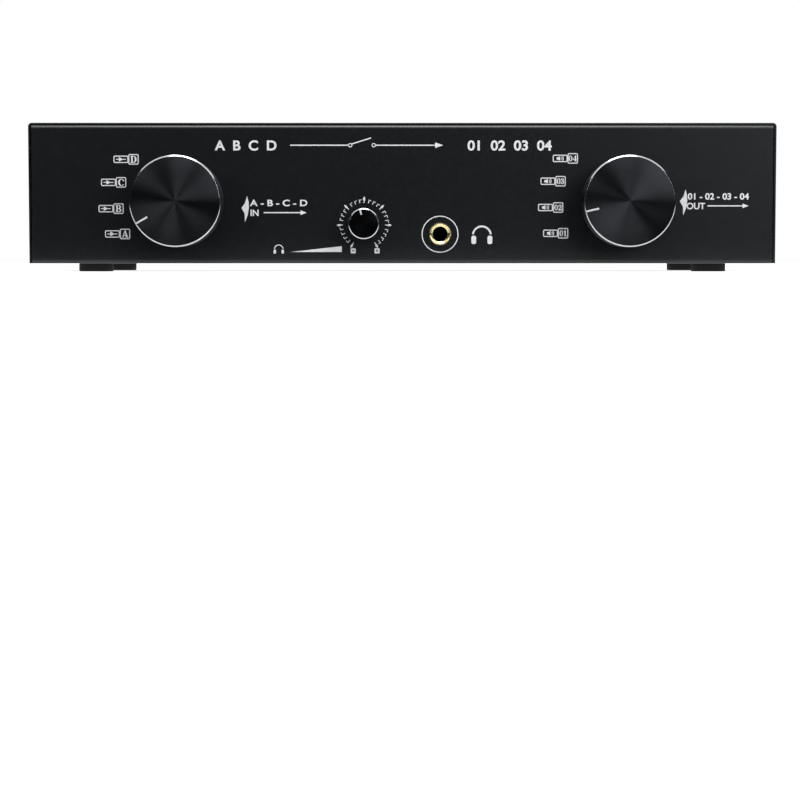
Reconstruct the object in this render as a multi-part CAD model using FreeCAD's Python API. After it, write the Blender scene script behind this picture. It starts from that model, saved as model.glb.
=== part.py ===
import FreeCAD, Part

import math
import os

from FreeCAD import Rotation, Vector

# A passive selector that connects one of four amplifiers to one of four pairs of loudspeakers, with a
# headphone socket. Millimetres. +Z is up, +X is to the right of someone facing the front panel, and the
# front faces -Y. The origin is on the table, under the middle of the whole object.

# Case
CASE_WIDTH = 320.0
CASE_DEPTH = 125.0  # outside of the front wall to outside of the rear wall
CASE_HEIGHT = 60.0  # underside of the tray to the top of the cover
FOOT_HEIGHT = 3.5
TRAY_SHEET = 1.2
COVER_SHEET = 1.0
COVER_SETBACK = 1.0  # how far the cover stops short of each wall's outside
COVER_CORNER = 1.6  # outer radius of the cover's folds
TRAY_BEND = 1.6  # outer radius of the tray's folds
SIDE_GAP = 0.4  # between the tray's edges and the cover's sides
FLANGE = 12.0  # depth of the tray's top flanges
HOOK_X = 110.0
HOOK_WIDTH = 16.0
HOOK_REACH = 6.0
HOOK_GAP = 0.2
COVER_SCREW_X = 90.0
COVER_SCREW_INSET = 8.0  # from the rear wall's outside
FOOT_X = 134.0
FOOT_SPREAD = 42.0  # from the middle of the case, along Y
FOOT_RADIUS = 7.5
FOOT_CHAMFER = 0.5
FOOT_SCREW_ROOM = 0.4  # around and below the head of the screw in each foot
TAPPED_COLLAR = (2.6, 1.6)  # outer radius and height of a pressed screw collar

# Screws: head radius, head height, shank radius, shank length
CASE_SCREW = (2.7, 1.8, 1.5, 6.0)
BLOCK_SCREW = (2.5, 1.6, 1.5, 8.0)
SCREW_CLEARANCE = 0.1
# Shares of a screw's head
HEAD_ROUNDING = 0.6  # of its height
RECESS_FLOOR = 0.4  # of its height
RECESS_ARM = 0.55  # of its radius
RECESS_WING = 0.12  # of its radius
PAST = 1.0  # how far a cutting solid runs past the face that it cuts

# Selector knobs and their rotary switches
KNOB_X = 95.5
KNOB_Z = 29.7
KNOB_RADIUS = 19.25
KNOB_PROTRUSION = 18.5
KNOB_GAP = 1.5  # between a knob's back and the front wall
KNOB_CHAMFER = 0.8
KNOB_RECESS = (10.0, 8.0)  # radius and depth of the hollow that clears the bushing nut
KNOB_BACK_CHAMFER = 0.4
KNOB_FACE_THICKNESS = 3.0  # from the face to the end of the shaft
POINTER_INNER = 13.4
POINTER_WIDTH = 0.8
POINTER_DEPTH = 0.3
AMP_POINTER = 210.0  # degrees from +X towards +Z, pointing at A
SPEAKER_POINTER = 193.5  # pointing at 02
CLICK = 30.0  # degrees between two positions
SHAFT_RADIUS = 3.0
SHAFT_CLEARANCE = 0.05
SHAFT_OVERHANG = 3.0  # behind the last wafer
SWITCH_BUSHING = (4.5, 7.5)  # radius, and length outside the wall
SWITCH_NUT = (12.0, 2.5)  # across flats, thickness
PLATE = (42.0, 32.0, 1.6, 4.0)  # width, height, thickness, corner radius
STAR = (10.5, 1.6, 3.0)  # radius, thickness, gap behind the plate
STAR_NOTCH = (1.8, 12.1)  # radius of a notch and of the circle its centre is on
DETENT_BALL = (1.5, 12.2)  # radius, distance from the axis
DETENT_STRIP = (12.0, 0.6, 6.0)  # width, thickness, length
WAFER = (42.0, 36.0, 1.6, 12.0)  # width, height, thickness, corner radius
WAFER_STARTS = (14.0, 28.0)  # behind the wall's inside
WAFER_HOLE = 8.0
ROTOR = (7.7, 1.3)  # radius, thickness
ROTOR_FLAT = 2.3  # from the axis to the flat that drives the rotor
CONTACT = (6.6, 16.0, 2.0, 0.4)  # inner radius, outer radius, width, thickness
CONTACTS = 12
CONTACT_CLEARANCE = 0.15
TIE_BOLT_X = 17.5
TIE_BOLT_RADIUS = 1.5
TIE_BOLT_HEAD = (2.6, 2.0)
SPACER_RADIUS = 2.6

# Headphone volume control
VOLUME_X = -16.4
VOLUME_Z = 20.3
VOLUME_KNOB_RADIUS = 6.5
VOLUME_KNOB_LENGTH = 11.3
VOLUME_KNOB_GAP = 2.3
VOLUME_KNOB_CHAMFER = 0.4
VOLUME_FACE_THICKNESS = 1.8
VOLUME_POINTER = 105.0  # degrees from +X towards +Z
VOLUME_POINTER_SIZE = (3.8, 0.7, 0.25)  # inner radius, width, depth
POT_BODY = (8.5, 9.5)  # radius, length
POT_BUSHING = (3.5, 5.0)
POT_SHAFT_REACH = 6.0  # behind the front wall's inside
END_PLAY = 0.5
POT_NUT = (10.0, 2.0)
POT_PINS = (-5.0, 0.0, 5.0)  # across the body
POT_PIN_SIZE = (0.8, 0.6)
POT_PIN_INSET = 2.0

# Headphone jack, for a 6.35 mm plug
JACK_X = 16.1
JACK_Z = 16.0
JACK_HOLE = 3.25
JACK_BUSHING = (4.4, 2.2)  # radius, and length outside the wall
JACK_RING = (5.0, 4.5, 1.7)  # radius at the wall, radius at the front, thickness
JACK_CHAMFER = 0.9
JACK_SLOT = (1.0, 0.7)
JACK_BODY = (16.0, 14.0, 26.0)  # width, height, length
JACK_BACK = 2.0
CONTACT_SLOT = (3.0, 4.4, 13.0, 5.0)  # inner and outer offset, start behind the wall, width
CONTACT_SLOT_TOP = 2.0  # above the jack's axis
SPRING = (3.5, 4.0, 1.0, 1.5)  # inner and outer offset, room at each end of its slot, top above the axis

# Small circuit board under the volume control and the jack
BOARD_X = (-30.0, 32.0)
BOARD_Y = (4.0, 46.0)  # behind the front wall's inside
BOARD_THICKNESS = 1.6
RESISTORS = (-24.0, -12.0, 2.0, 28.0)
RESISTOR_SIZE = (1.8, 9.0)  # radius, length
RESISTOR_INSET = 3.0

# Binding posts, in 16 columns of one red and one black
COLUMNS = 16
COLUMN_PITCH = 18.5
RED_Z = 48.5
BLACK_Z = 23.5
POST_PROTRUSION = 28.5
CAP_LENGTH = 13.5
CAP_FACE_RADIUS = 5.4
CAP_GRIP_RADIUS = 6.3
CAP_RIM_RADIUS = 6.45
CAP_TAPER = 1.6
CAP_RIM_START = 9.8  # behind the face
CAP_FLUTES = 16
CAP_FLUTE = (0.95, 6.8, 8.4)  # cutter radius, radius of its centres, length
CAP_GAP = 0.3
CAP_CLEARANCE = 0.08
STUD_RADIUS = 3.2
STUD_RECESS = 0.2
SOCKET_RADIUS = 2.05  # for a 4 mm banana plug
SOCKET_MOUTH = 2.5
SOCKET_DEPTH = 18.0
DRILL_TIP = 0.5  # depth of the cone at the socket's end, over the socket's radius
CROSS_HOLE = (1.3, 17.5)  # radius, distance from the wall
STUD_TAIL = (2.5, 8.8)  # radius, and length behind the block's seat
POST_NUT = (8.0, 3.2)
COLLAR = (6.8, 4.0)  # of a post's sleeve: radius, and length outside the wall
NECK_RADIUS = 5.9
EDGE_CHAMFER = 0.4  # on the moulded sleeves and caps
BLOCK_WIDTH = 17.0
BLOCK_DEPTH = 10.0
BLOCK_MARGIN = 8.5
BLOCK_SEAT = 2.0
TERMINAL_BOARD_MARGIN = 9.5

# Wires from the switch wafers to the terminal board
WIRE_RADIUS = 1.2
WIRE_ANGLES = (45.0, 75.0, 105.0, 135.0)
WIRE_CONTACT_RADIUS = 13.5
WIRE_SPREAD = 18.5
WIRE_BENDS = (-12.0, 22.0)  # where the slanting run starts and ends, along Y
WIRE_BEND_RADIUS = 12.0

# Worked out from the above
TOTAL_DEPTH = KNOB_PROTRUSION + CASE_DEPTH + POST_PROTRUSION
FRONT = -TOTAL_DEPTH / 2 + KNOB_PROTRUSION
REAR = FRONT + CASE_DEPTH
FRONT_INSIDE = FRONT + TRAY_SHEET
REAR_INSIDE = REAR - TRAY_SHEET
MIDDLE_Y = (FRONT + REAR) / 2
BASE = FOOT_HEIGHT
FLOOR = BASE + TRAY_SHEET
TOP = BASE + CASE_HEIGHT
TRAY_TOP = TOP - COVER_SHEET
HALF_WIDTH = CASE_WIDTH / 2
TRAY_HALF_WIDTH = HALF_WIDTH - COVER_SHEET - SIDE_GAP
COVER_SCREW_Y = REAR - COVER_SCREW_INSET
SWITCH_X = (-KNOB_X, KNOB_X)
FOOT_SCREW_SEAT = CASE_SCREW[1] + FOOT_SCREW_ROOM
POST_FACE = REAR + POST_PROTRUSION
CAP_BACK = POST_FACE - CAP_LENGTH
STUD_END = POST_FACE - STUD_RECESS
BLOCK_BACK = REAR_INSIDE - BLOCK_DEPTH
NECK_END = CAP_BACK - CAP_GAP
BLOCK_SCREW_Z = (RED_Z + BLACK_Z) / 2
BOARD_TOP = JACK_Z - JACK_BODY[1] / 2
TERMINAL_BOARD_BACK = BLOCK_BACK - BOARD_THICKNESS
COLUMN_X = [(i - (COLUMNS - 1) / 2) * COLUMN_PITCH for i in range(COLUMNS)]
FOOT_PLACES = [
    (side * FOOT_X, MIDDLE_Y + end * FOOT_SPREAD) for side in (-1, 1) for end in (-1, 1)
]
ALONG_Y = Vector(0, 1, 0)


def block(x, y, z):
    """A block between the (low, high) pairs x, y and z."""
    return Part.makeBox(x[1] - x[0], y[1] - y[0], z[1] - z[0], Vector(x[0], y[0], z[0]))


def rod(radius, x, z, start, end):
    """A cylinder along Y."""
    return Part.makeCylinder(radius, end - start, Vector(x, start, z), ALONG_Y)


def pillar(radius, x, y, bottom, top):
    """A cylinder along Z."""
    return Part.makeCylinder(radius, top - bottom, Vector(x, y, bottom))


def turned(profile, x, z):
    """A solid turned about the line along Y through (x, z), from its (radius, y) corners."""
    corners = [Vector(x + radius, y, z) for radius, y in profile]
    face = Part.Face(Part.makePolygon(corners + corners[:1]))
    return face.revolve(Vector(x, 0, z), ALONG_Y, 360)


def swung(shape, x, z, angle):
    """The shape turned about the line along Y through (x, z), from +X towards +Z."""
    return shape.rotated(Vector(x, 0, z), ALONG_Y, -angle)


def rounded_outline(corners):
    """A closed wire through (point, radius) corners. Each corner is rounded by a tangent arc."""
    ends = []
    edges = []
    for i, (point, radius) in enumerate(corners):
        before = (corners[i - 1][0] - point).normalize()
        after = (corners[(i + 1) % len(corners)][0] - point).normalize()
        if not radius:
            ends.append((point, point))
            continue
        half = before.getAngle(after) / 2
        start = point + before * (radius / math.tan(half))
        end = point + after * (radius / math.tan(half))
        bisector = (before + after).normalize()
        middle = point + bisector * (radius / math.sin(half) - radius)
        edges.append(Part.Arc(start, middle, end).toShape())
        ends.append((start, end))
    for i, (start, _) in enumerate(ends):
        edges.append(Part.LineSegment(ends[i - 1][1], start).toShape())
    return Part.Wire(Part.__sortEdges__(edges))


def rounded_plate(width, height, thickness, corner, x, z, start):
    """A plate across Y with rounded corners, centred on (x, z)."""
    signs = [(-1, -1), (1, -1), (1, 1), (-1, 1)]
    corners = [(Vector(x + a * width / 2, start, z + b * height / 2), corner) for a, b in signs]
    return Part.Face(rounded_outline(corners)).extrude(Vector(0, thickness, 0))


def hex_nut(across_flats, thickness, hole, x, z, start):
    """A hexagonal nut across Y, with its flats at the top and bottom."""
    radius = across_flats / math.sqrt(3)
    angles = [math.radians(60 * i) for i in range(7)]
    corners = [Vector(x + radius * math.cos(a), start, z + radius * math.sin(a)) for a in angles]
    prism = Part.Face(Part.makePolygon(corners)).extrude(Vector(0, thickness, 0))
    return prism.cut(rod(hole, x, z, start, start + thickness))


def pan_screw(head_radius, head_height, shank_radius, length):
    """A cross-recessed pan-head screw. The head's seat is at z = 0 and the shank points down."""
    head = Part.makeCylinder(head_radius, head_height)
    rim = [e for e in head.Edges if e.BoundBox.ZMin > head_height / 2]
    head = head.makeFillet(head_height * HEAD_ROUNDING, rim)
    arm = head_radius * RECESS_ARM
    wing = head_radius * RECESS_WING
    recess = head_height * RECESS_FLOOR, head_height
    for x, y in ((arm, wing), (wing, arm)):
        head = head.cut(block((-x, x), (-y, y), recess))
    return head.fuse(Part.makeCylinder(shank_radius, length, Vector(0, 0, -length))).removeSplitter()


def placed(shape, towards, point):
    """The shape with its +Z turned to the direction given, moved to the point."""
    moved = shape.copy()
    moved.Placement = FreeCAD.Placement(point, Rotation(Vector(0, 0, 1), towards))
    return moved


def bent_rod(points, bend, radius):
    """A round rod along straight runs joined by tangent arcs."""
    edges = []
    start = points[0]
    for before, corner, after in zip(points, points[1:], points[2:]):
        back = (before - corner).normalize()
        on = (after - corner).normalize()
        half = back.getAngle(on) / 2
        arc_start = corner + back * (bend / math.tan(half))
        arc_end = corner + on * (bend / math.tan(half))
        middle = corner + (back + on).normalize() * (bend / math.sin(half) - bend)
        edges.append(Part.LineSegment(start, arc_start).toShape())
        edges.append(Part.Arc(arc_start, middle, arc_end).toShape())
        start = arc_end
    edges.append(Part.LineSegment(start, points[-1]).toShape())
    path = Part.Wire(edges)
    ring = Part.Wire(Part.makeCircle(radius, points[0], points[1] - points[0]))
    return path.makePipeShell([ring], True, True)


def tapped_collar(x, y, bottom):
    """The ring of sheet that is pressed out around a tapped hole."""
    radius, height = TAPPED_COLLAR
    return pillar(radius, x, y, bottom, bottom + height)


def base_tray():
    """One folded sheet: floor, front wall, rear wall and the two top flanges."""
    inner_bend = TRAY_BEND - TRAY_SHEET
    under = TRAY_TOP - TRAY_SHEET
    outline = [
        (FRONT + FLANGE, TRAY_TOP, 0),
        (FRONT, TRAY_TOP, TRAY_BEND),
        (FRONT, BASE, TRAY_BEND),
        (REAR, BASE, TRAY_BEND),
        (REAR, TRAY_TOP, TRAY_BEND),
        (REAR - FLANGE, TRAY_TOP, 0),
        (REAR - FLANGE, under, 0),
        (REAR_INSIDE, under, inner_bend),
        (REAR_INSIDE, FLOOR, inner_bend),
        (FRONT_INSIDE, FLOOR, inner_bend),
        (FRONT_INSIDE, under, inner_bend),
        (FRONT + FLANGE, under, 0),
    ]
    corners = [(Vector(-TRAY_HALF_WIDTH, y, z), radius) for y, z, radius in outline]
    tray = Part.Face(rounded_outline(corners)).extrude(Vector(2 * TRAY_HALF_WIDTH, 0, 0))
    shoulder = COVER_CORNER - COVER_SHEET
    silhouette = [
        (Vector(-TRAY_HALF_WIDTH, FRONT, BASE), 0),
        (Vector(-TRAY_HALF_WIDTH, FRONT, TRAY_TOP), shoulder),
        (Vector(TRAY_HALF_WIDTH, FRONT, TRAY_TOP), shoulder),
        (Vector(TRAY_HALF_WIDTH, FRONT, BASE), 0),
    ]
    tray = tray.common(Part.Face(rounded_outline(silhouette)).extrude(Vector(0, CASE_DEPTH, 0)))
    cover_screws = [(side * COVER_SCREW_X, COVER_SCREW_Y) for side in (-1, 1)]
    collar_height = TAPPED_COLLAR[1]
    tray = tray.fuse(
        [tapped_collar(x, y, FLOOR) for x, y in FOOT_PLACES]
        + [tapped_collar(x, y, under - collar_height) for x, y in cover_screws]
    )
    shank = CASE_SCREW[2]
    cuts = [pillar(shank, x, y, BASE - PAST, FLOOR + collar_height + PAST) for x, y in FOOT_PLACES]
    cuts += [pillar(shank, x, y, under - collar_height - PAST, TOP) for x, y in cover_screws]
    for x in SWITCH_X:
        cuts.append(rod(SWITCH_BUSHING[0], x, KNOB_Z, FRONT - PAST, FRONT_INSIDE + PAST))
    cuts.append(rod(POT_BUSHING[0], VOLUME_X, VOLUME_Z, FRONT - PAST, FRONT_INSIDE + PAST))
    cuts.append(rod(JACK_BUSHING[0], JACK_X, JACK_Z, FRONT - PAST, FRONT_INSIDE + PAST))
    block_screw_hole = BLOCK_SCREW[2] + SCREW_CLEARANCE
    for x in COLUMN_X:
        for z in (RED_Z, BLACK_Z):
            cuts.append(rod(COLLAR[0], x, z, REAR_INSIDE - PAST, REAR + PAST))
        cuts.append(rod(block_screw_hole, x, BLOCK_SCREW_Z, REAR_INSIDE - PAST, REAR + PAST))
    return tray.cut(cuts).removeSplitter()


def top_cover():
    """The folded top and sides, with two tongues that hook under the tray's front flange."""
    inner = HALF_WIDTH - COVER_SHEET
    inner_corner = COVER_CORNER - COVER_SHEET
    outline = [
        (-HALF_WIDTH, BASE, 0),
        (-HALF_WIDTH, TOP, COVER_CORNER),
        (HALF_WIDTH, TOP, COVER_CORNER),
        (HALF_WIDTH, BASE, 0),
        (inner, BASE, 0),
        (inner, TRAY_TOP, inner_corner),
        (-inner, TRAY_TOP, inner_corner),
        (-inner, BASE, 0),
    ]
    start = FRONT + COVER_SETBACK
    corners = [(Vector(x, start, z), radius) for x, z, radius in outline]
    cover = Part.Face(rounded_outline(corners)).extrude(Vector(0, CASE_DEPTH - 2 * COVER_SETBACK, 0))
    tongue_top = TRAY_TOP - TRAY_SHEET - HOOK_GAP
    tongue_bottom = tongue_top - COVER_SHEET
    flange_edge = FRONT + FLANGE
    web = (flange_edge + HOOK_GAP, flange_edge + HOOK_GAP + COVER_SHEET)
    for x in (-HOOK_X, HOOK_X):
        across = (x - HOOK_WIDTH / 2, x + HOOK_WIDTH / 2)
        cover = cover.fuse(block(across, web, (tongue_bottom, TRAY_TOP)))
        cover = cover.fuse(block(across, (flange_edge - HOOK_REACH, web[1]), (tongue_bottom, tongue_top)))
    hole = CASE_SCREW[2] + SCREW_CLEARANCE
    for x in (-COVER_SCREW_X, COVER_SCREW_X):
        cover = cover.cut(pillar(hole, x, COVER_SCREW_Y, TRAY_TOP - PAST, TOP + PAST))
    return cover.removeSplitter()


def case_screws():
    """Two screws through the cover into the rear flange, and one up through each foot."""
    screw = pan_screw(*CASE_SCREW)
    up = Vector(0, 0, 1)
    screws = [placed(screw, up, Vector(x, COVER_SCREW_Y, TOP)) for x in (-COVER_SCREW_X, COVER_SCREW_X)]
    screws += [placed(screw, -up, Vector(x, y, FOOT_SCREW_SEAT)) for x, y in FOOT_PLACES]
    return screws


def feet():
    """Round rubber feet, each with a sunk screw hole."""
    made = []
    for x, y in FOOT_PLACES:
        foot = pillar(FOOT_RADIUS, x, y, 0, FOOT_HEIGHT)
        ground = [e for e in foot.Edges if e.BoundBox.ZMax < FOOT_HEIGHT / 2]
        foot = foot.makeChamfer(FOOT_CHAMFER, ground)
        foot = foot.cut(pillar(CASE_SCREW[0] + FOOT_SCREW_ROOM, x, y, -PAST, FOOT_SCREW_SEAT))
        made.append(foot.cut(pillar(CASE_SCREW[2] + SCREW_CLEARANCE, x, y, 0, FOOT_HEIGHT + PAST)))
    return made


def switch_frame(x):
    """A rotary switch's front plate with its threaded bushing."""
    width, height, thickness, corner = PLATE
    plate = rounded_plate(width, height, thickness, corner, x, KNOB_Z, FRONT_INSIDE)
    radius, length = SWITCH_BUSHING
    plate = plate.fuse(rod(radius, x, KNOB_Z, FRONT - length, FRONT_INSIDE + thickness))
    back = FRONT_INSIDE + thickness
    bore = SHAFT_RADIUS + SHAFT_CLEARANCE
    plate = plate.cut(rod(bore, x, KNOB_Z, FRONT - length - PAST, back + PAST))
    for side in (-1, 1):
        bolt_x = x + side * TIE_BOLT_X
        plate = plate.cut(rod(TIE_BOLT_RADIUS, bolt_x, KNOB_Z, FRONT_INSIDE - PAST, back + PAST))
    return plate.removeSplitter()


def switch_wafer(x, start):
    """An insulating wafer with a round opening for the rotor."""
    width, height, thickness, corner = WAFER
    wafer = rounded_plate(width, height, thickness, corner, x, KNOB_Z, start)
    cut_ends = (start - PAST, start + thickness + PAST)
    wafer = wafer.cut(rod(WAFER_HOLE, x, KNOB_Z, *cut_ends))
    for side in (-1, 1):
        hole_x = x + side * TIE_BOLT_X
        wafer = wafer.cut(rod(TIE_BOLT_RADIUS + SCREW_CLEARANCE, hole_x, KNOB_Z, *cut_ends))
    return wafer


def wafer_contacts(x, back):
    """The ring of contact clips on a wafer's back. None stands where a tie bolt passes."""
    inner, outer, width, thickness = CONTACT
    clips = []
    for i in range(CONTACTS):
        angle = (i + 0.5) * 360 / CONTACTS
        clip = block(
            (x + inner, x + outer), (back, back + thickness), (KNOB_Z - width / 2, KNOB_Z + width / 2)
        )
        clips.append(swung(clip, x, KNOB_Z, angle))
    return clips


def switch_detent(x):
    """A leaf spring on the plate's back, with the ball that drops into the star's notches."""
    width, thickness, length = DETENT_STRIP
    ball_radius, ball_height = DETENT_BALL
    start = FRONT_INSIDE + PLATE[2]
    bottom = KNOB_Z + ball_height + ball_radius - thickness
    strip = block((x - width / 2, x + width / 2), (start, start + length), (bottom, bottom + thickness))
    star_middle = start + STAR[2] + STAR[1] / 2
    ball = Part.makeSphere(ball_radius, Vector(x, star_middle, KNOB_Z + ball_height))
    return strip.fuse(ball)


def tie_bolts_of(x):
    """Two long bolts that hold a switch together, with the sleeves that space its wafers."""
    made = []
    stack_end = FRONT_INSIDE + WAFER_STARTS[-1] + WAFER[2]
    head_radius, head_height = TIE_BOLT_HEAD
    gaps = [PLATE[2]] + [start + WAFER[2] for start in WAFER_STARTS]
    for side in (-1, 1):
        bolt_x = x + side * TIE_BOLT_X
        bolt = rod(TIE_BOLT_RADIUS, bolt_x, KNOB_Z, FRONT_INSIDE, stack_end)
        head = rod(head_radius, bolt_x, KNOB_Z, stack_end, stack_end + head_height)
        made.append(bolt.fuse(head).removeSplitter())
        for gap_start, gap_end in zip(gaps, WAFER_STARTS):
            ends = (FRONT_INSIDE + gap_start, FRONT_INSIDE + gap_end)
            sleeve = rod(SPACER_RADIUS, bolt_x, KNOB_Z, *ends)
            made.append(sleeve.cut(rod(TIE_BOLT_RADIUS + SCREW_CLEARANCE, bolt_x, KNOB_Z, *ends)))
    return made


def selector_knob(x, pointer):
    """A solid aluminium knob with a bright chamfer and a cut pointer line."""
    back = FRONT - KNOB_GAP
    face = FRONT - KNOB_PROTRUSION
    recess_radius, recess_depth = KNOB_RECESS
    knob = turned(
        [
            (0, face),
            (KNOB_RADIUS - KNOB_CHAMFER, face),
            (KNOB_RADIUS, face + KNOB_CHAMFER),
            (KNOB_RADIUS, back - KNOB_BACK_CHAMFER),
            (KNOB_RADIUS - KNOB_BACK_CHAMFER, back),
            (recess_radius, back),
            (recess_radius, back - recess_depth),
            (SHAFT_RADIUS, back - recess_depth),
            (SHAFT_RADIUS, face + KNOB_FACE_THICKNESS),
            (0, face + KNOB_FACE_THICKNESS),
        ],
        x,
        KNOB_Z,
    )
    line = block(
        (x + POINTER_INNER, x + KNOB_RADIUS + PAST),
        (face - PAST, face + POINTER_DEPTH),
        (KNOB_Z - POINTER_WIDTH / 2, KNOB_Z + POINTER_WIDTH / 2),
    )
    return swung(knob.cut(line), x, KNOB_Z, pointer)


def switch_shaft(x):
    """A 6 mm shaft with its twelve-notch star. Its back end has a flat that drives the rotors."""
    start = FRONT - KNOB_PROTRUSION + KNOB_FACE_THICKNESS
    end = FRONT_INSIDE + WAFER_STARTS[-1] + WAFER[2] + SHAFT_OVERHANG
    shaft = rod(SHAFT_RADIUS, x, KNOB_Z, start, end)
    radius, thickness, gap = STAR
    star_start = FRONT_INSIDE + PLATE[2] + gap
    star = rod(radius, x, KNOB_Z, star_start, star_start + thickness)
    notch_radius, notch_circle = STAR_NOTCH
    flat_start = star_start + thickness
    for i in range(round(360 / CLICK)):
        notch = rod(notch_radius, x + notch_circle, KNOB_Z, star_start - PAST, flat_start + PAST)
        star = star.cut(swung(notch, x, KNOB_Z, i * CLICK))
    flat = block(
        (x + ROTOR_FLAT, x + SHAFT_RADIUS + PAST),
        (flat_start, end + PAST),
        (KNOB_Z - SHAFT_RADIUS, KNOB_Z + SHAFT_RADIUS),
    )
    return shaft.fuse(star).cut(flat).removeSplitter()


def switch_rotor(x):
    """The two discs that carry the moving contacts, one in each wafer."""
    radius, thickness = ROTOR
    discs = []
    for wafer_start in WAFER_STARTS:
        start = FRONT_INSIDE + wafer_start + CONTACT_CLEARANCE
        hole = rod(SHAFT_RADIUS, x, KNOB_Z, start, start + thickness)
        flat = block(
            (x + ROTOR_FLAT, x + SHAFT_RADIUS + PAST),
            (start, start + thickness),
            (KNOB_Z - SHAFT_RADIUS, KNOB_Z + SHAFT_RADIUS),
        )
        discs.append(rod(radius, x, KNOB_Z, start, start + thickness).cut(hole.cut(flat)))
    return discs


def volume_pot():
    """The volume control's round body, threaded bushing and solder pins."""
    radius, length = POT_BODY
    bushing_radius, bushing_length = POT_BUSHING
    body = rod(radius, VOLUME_X, VOLUME_Z, FRONT_INSIDE, FRONT_INSIDE + length)
    body = body.fuse(rod(bushing_radius, VOLUME_X, VOLUME_Z, FRONT - bushing_length, FRONT_INSIDE))
    pin_width, pin_thickness = POT_PIN_SIZE
    pin_y = FRONT_INSIDE + length - POT_PIN_INSET
    for offset in POT_PINS:
        across = (VOLUME_X + offset - pin_width / 2, VOLUME_X + offset + pin_width / 2)
        pin = block(across, (pin_y, pin_y + pin_thickness), (BOARD_TOP, VOLUME_Z))
        body = body.fuse(pin)
    ends = (FRONT - bushing_length - PAST, FRONT_INSIDE + POT_SHAFT_REACH + END_PLAY)
    hole = rod(SHAFT_RADIUS + SHAFT_CLEARANCE, VOLUME_X, VOLUME_Z, *ends)
    return body.cut(hole).removeSplitter()


def volume_knob():
    """The small volume knob, with a cut pointer line."""
    back = FRONT - VOLUME_KNOB_GAP
    face = back - VOLUME_KNOB_LENGTH
    bushing_room = POT_BUSHING[0] + END_PLAY
    room_end = FRONT - POT_BUSHING[1] - END_PLAY
    knob = turned(
        [
            (0, face),
            (VOLUME_KNOB_RADIUS - VOLUME_KNOB_CHAMFER, face),
            (VOLUME_KNOB_RADIUS, face + VOLUME_KNOB_CHAMFER),
            (VOLUME_KNOB_RADIUS, back),
            (bushing_room, back),
            (bushing_room, room_end),
            (SHAFT_RADIUS, room_end),
            (SHAFT_RADIUS, face + VOLUME_FACE_THICKNESS),
            (0, face + VOLUME_FACE_THICKNESS),
        ],
        VOLUME_X,
        VOLUME_Z,
    )
    inner, width, depth = VOLUME_POINTER_SIZE
    line = block(
        (VOLUME_X + inner, VOLUME_X + VOLUME_KNOB_RADIUS + PAST),
        (face - PAST, face + depth),
        (VOLUME_Z - width / 2, VOLUME_Z + width / 2),
    )
    return swung(knob.cut(line), VOLUME_X, VOLUME_Z, VOLUME_POINTER)


def volume_shaft():
    """The volume control's 6 mm shaft."""
    start = FRONT - VOLUME_KNOB_GAP - VOLUME_KNOB_LENGTH + VOLUME_FACE_THICKNESS
    return rod(SHAFT_RADIUS, VOLUME_X, VOLUME_Z, start, FRONT_INSIDE + POT_SHAFT_REACH)


def bushing_nuts():
    """The nuts that clamp both switches and the volume control to the front wall."""
    nuts = []
    for x in SWITCH_X:
        across, thickness = SWITCH_NUT
        nuts.append(hex_nut(across, thickness, SWITCH_BUSHING[0], x, KNOB_Z, FRONT - thickness))
    across, thickness = POT_NUT
    nuts.append(hex_nut(across, thickness, POT_BUSHING[0], VOLUME_X, VOLUME_Z, FRONT - thickness))
    return nuts


def jack_body():
    """The jack's moulded body, with a blind hole for the plug and a slot for each side contact."""
    width, height, length = JACK_BODY
    end = FRONT_INSIDE + length
    body = block(
        (JACK_X - width / 2, JACK_X + width / 2),
        (FRONT_INSIDE, end),
        (JACK_Z - height / 2, JACK_Z + height / 2),
    )
    body = body.cut(rod(JACK_HOLE, JACK_X, JACK_Z, FRONT_INSIDE - PAST, end - JACK_BACK))
    inner, outer, start, slot_width = CONTACT_SLOT
    y = (FRONT_INSIDE + start, FRONT_INSIDE + start + slot_width)
    for side in (-1, 1):
        across = sorted((JACK_X + side * inner, JACK_X + side * outer))
        body = body.cut(block(across, y, (BOARD_TOP - PAST, JACK_Z + CONTACT_SLOT_TOP)))
    return body


def jack_bushing():
    """The gold bushing and ring nut around the jack's hole, with a slot on either side."""
    radius, protrusion = JACK_BUSHING
    wall_radius, front_radius, thickness = JACK_RING
    face = FRONT - protrusion
    ring = turned(
        [
            (JACK_HOLE, FRONT_INSIDE),
            (radius, FRONT_INSIDE),
            (radius, FRONT),
            (wall_radius, FRONT),
            (front_radius, FRONT - thickness),
            (JACK_HOLE + JACK_CHAMFER, face),
            (JACK_HOLE, face + JACK_CHAMFER),
        ],
        JACK_X,
        JACK_Z,
    )
    slot_height, slot_depth = JACK_SLOT
    slot_z = (JACK_Z - slot_height / 2, JACK_Z + slot_height / 2)
    for side in (-1, 1):
        across = sorted((JACK_X + side * JACK_HOLE, JACK_X + side * (wall_radius + PAST)))
        ring = ring.cut(block(across, (face - PAST, face + slot_depth), slot_z))
    return ring


def headphone_board():
    """The small board with what is soldered to it: resistors and the jack's contact springs."""
    board_front, board_back = (FRONT_INSIDE + distance for distance in BOARD_Y)
    parts = [block(BOARD_X, (board_front, board_back), (BOARD_TOP - BOARD_THICKNESS, BOARD_TOP))]
    radius, length = RESISTOR_SIZE
    start = board_back - length - RESISTOR_INSET
    for x in RESISTORS:
        parts.append(rod(radius, x, BOARD_TOP + radius, start, start + length))
    slot_start, slot_width = CONTACT_SLOT[2:]
    inner, outer, end_room, top = SPRING
    spring_start = FRONT_INSIDE + slot_start + end_room
    spring_y = (spring_start, spring_start + slot_width - 2 * end_room)
    for side in (-1, 1):
        across = sorted((JACK_X + side * inner, JACK_X + side * outer))
        parts.append(block(across, spring_y, (BOARD_TOP, JACK_Z + top)))
    return parts


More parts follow.
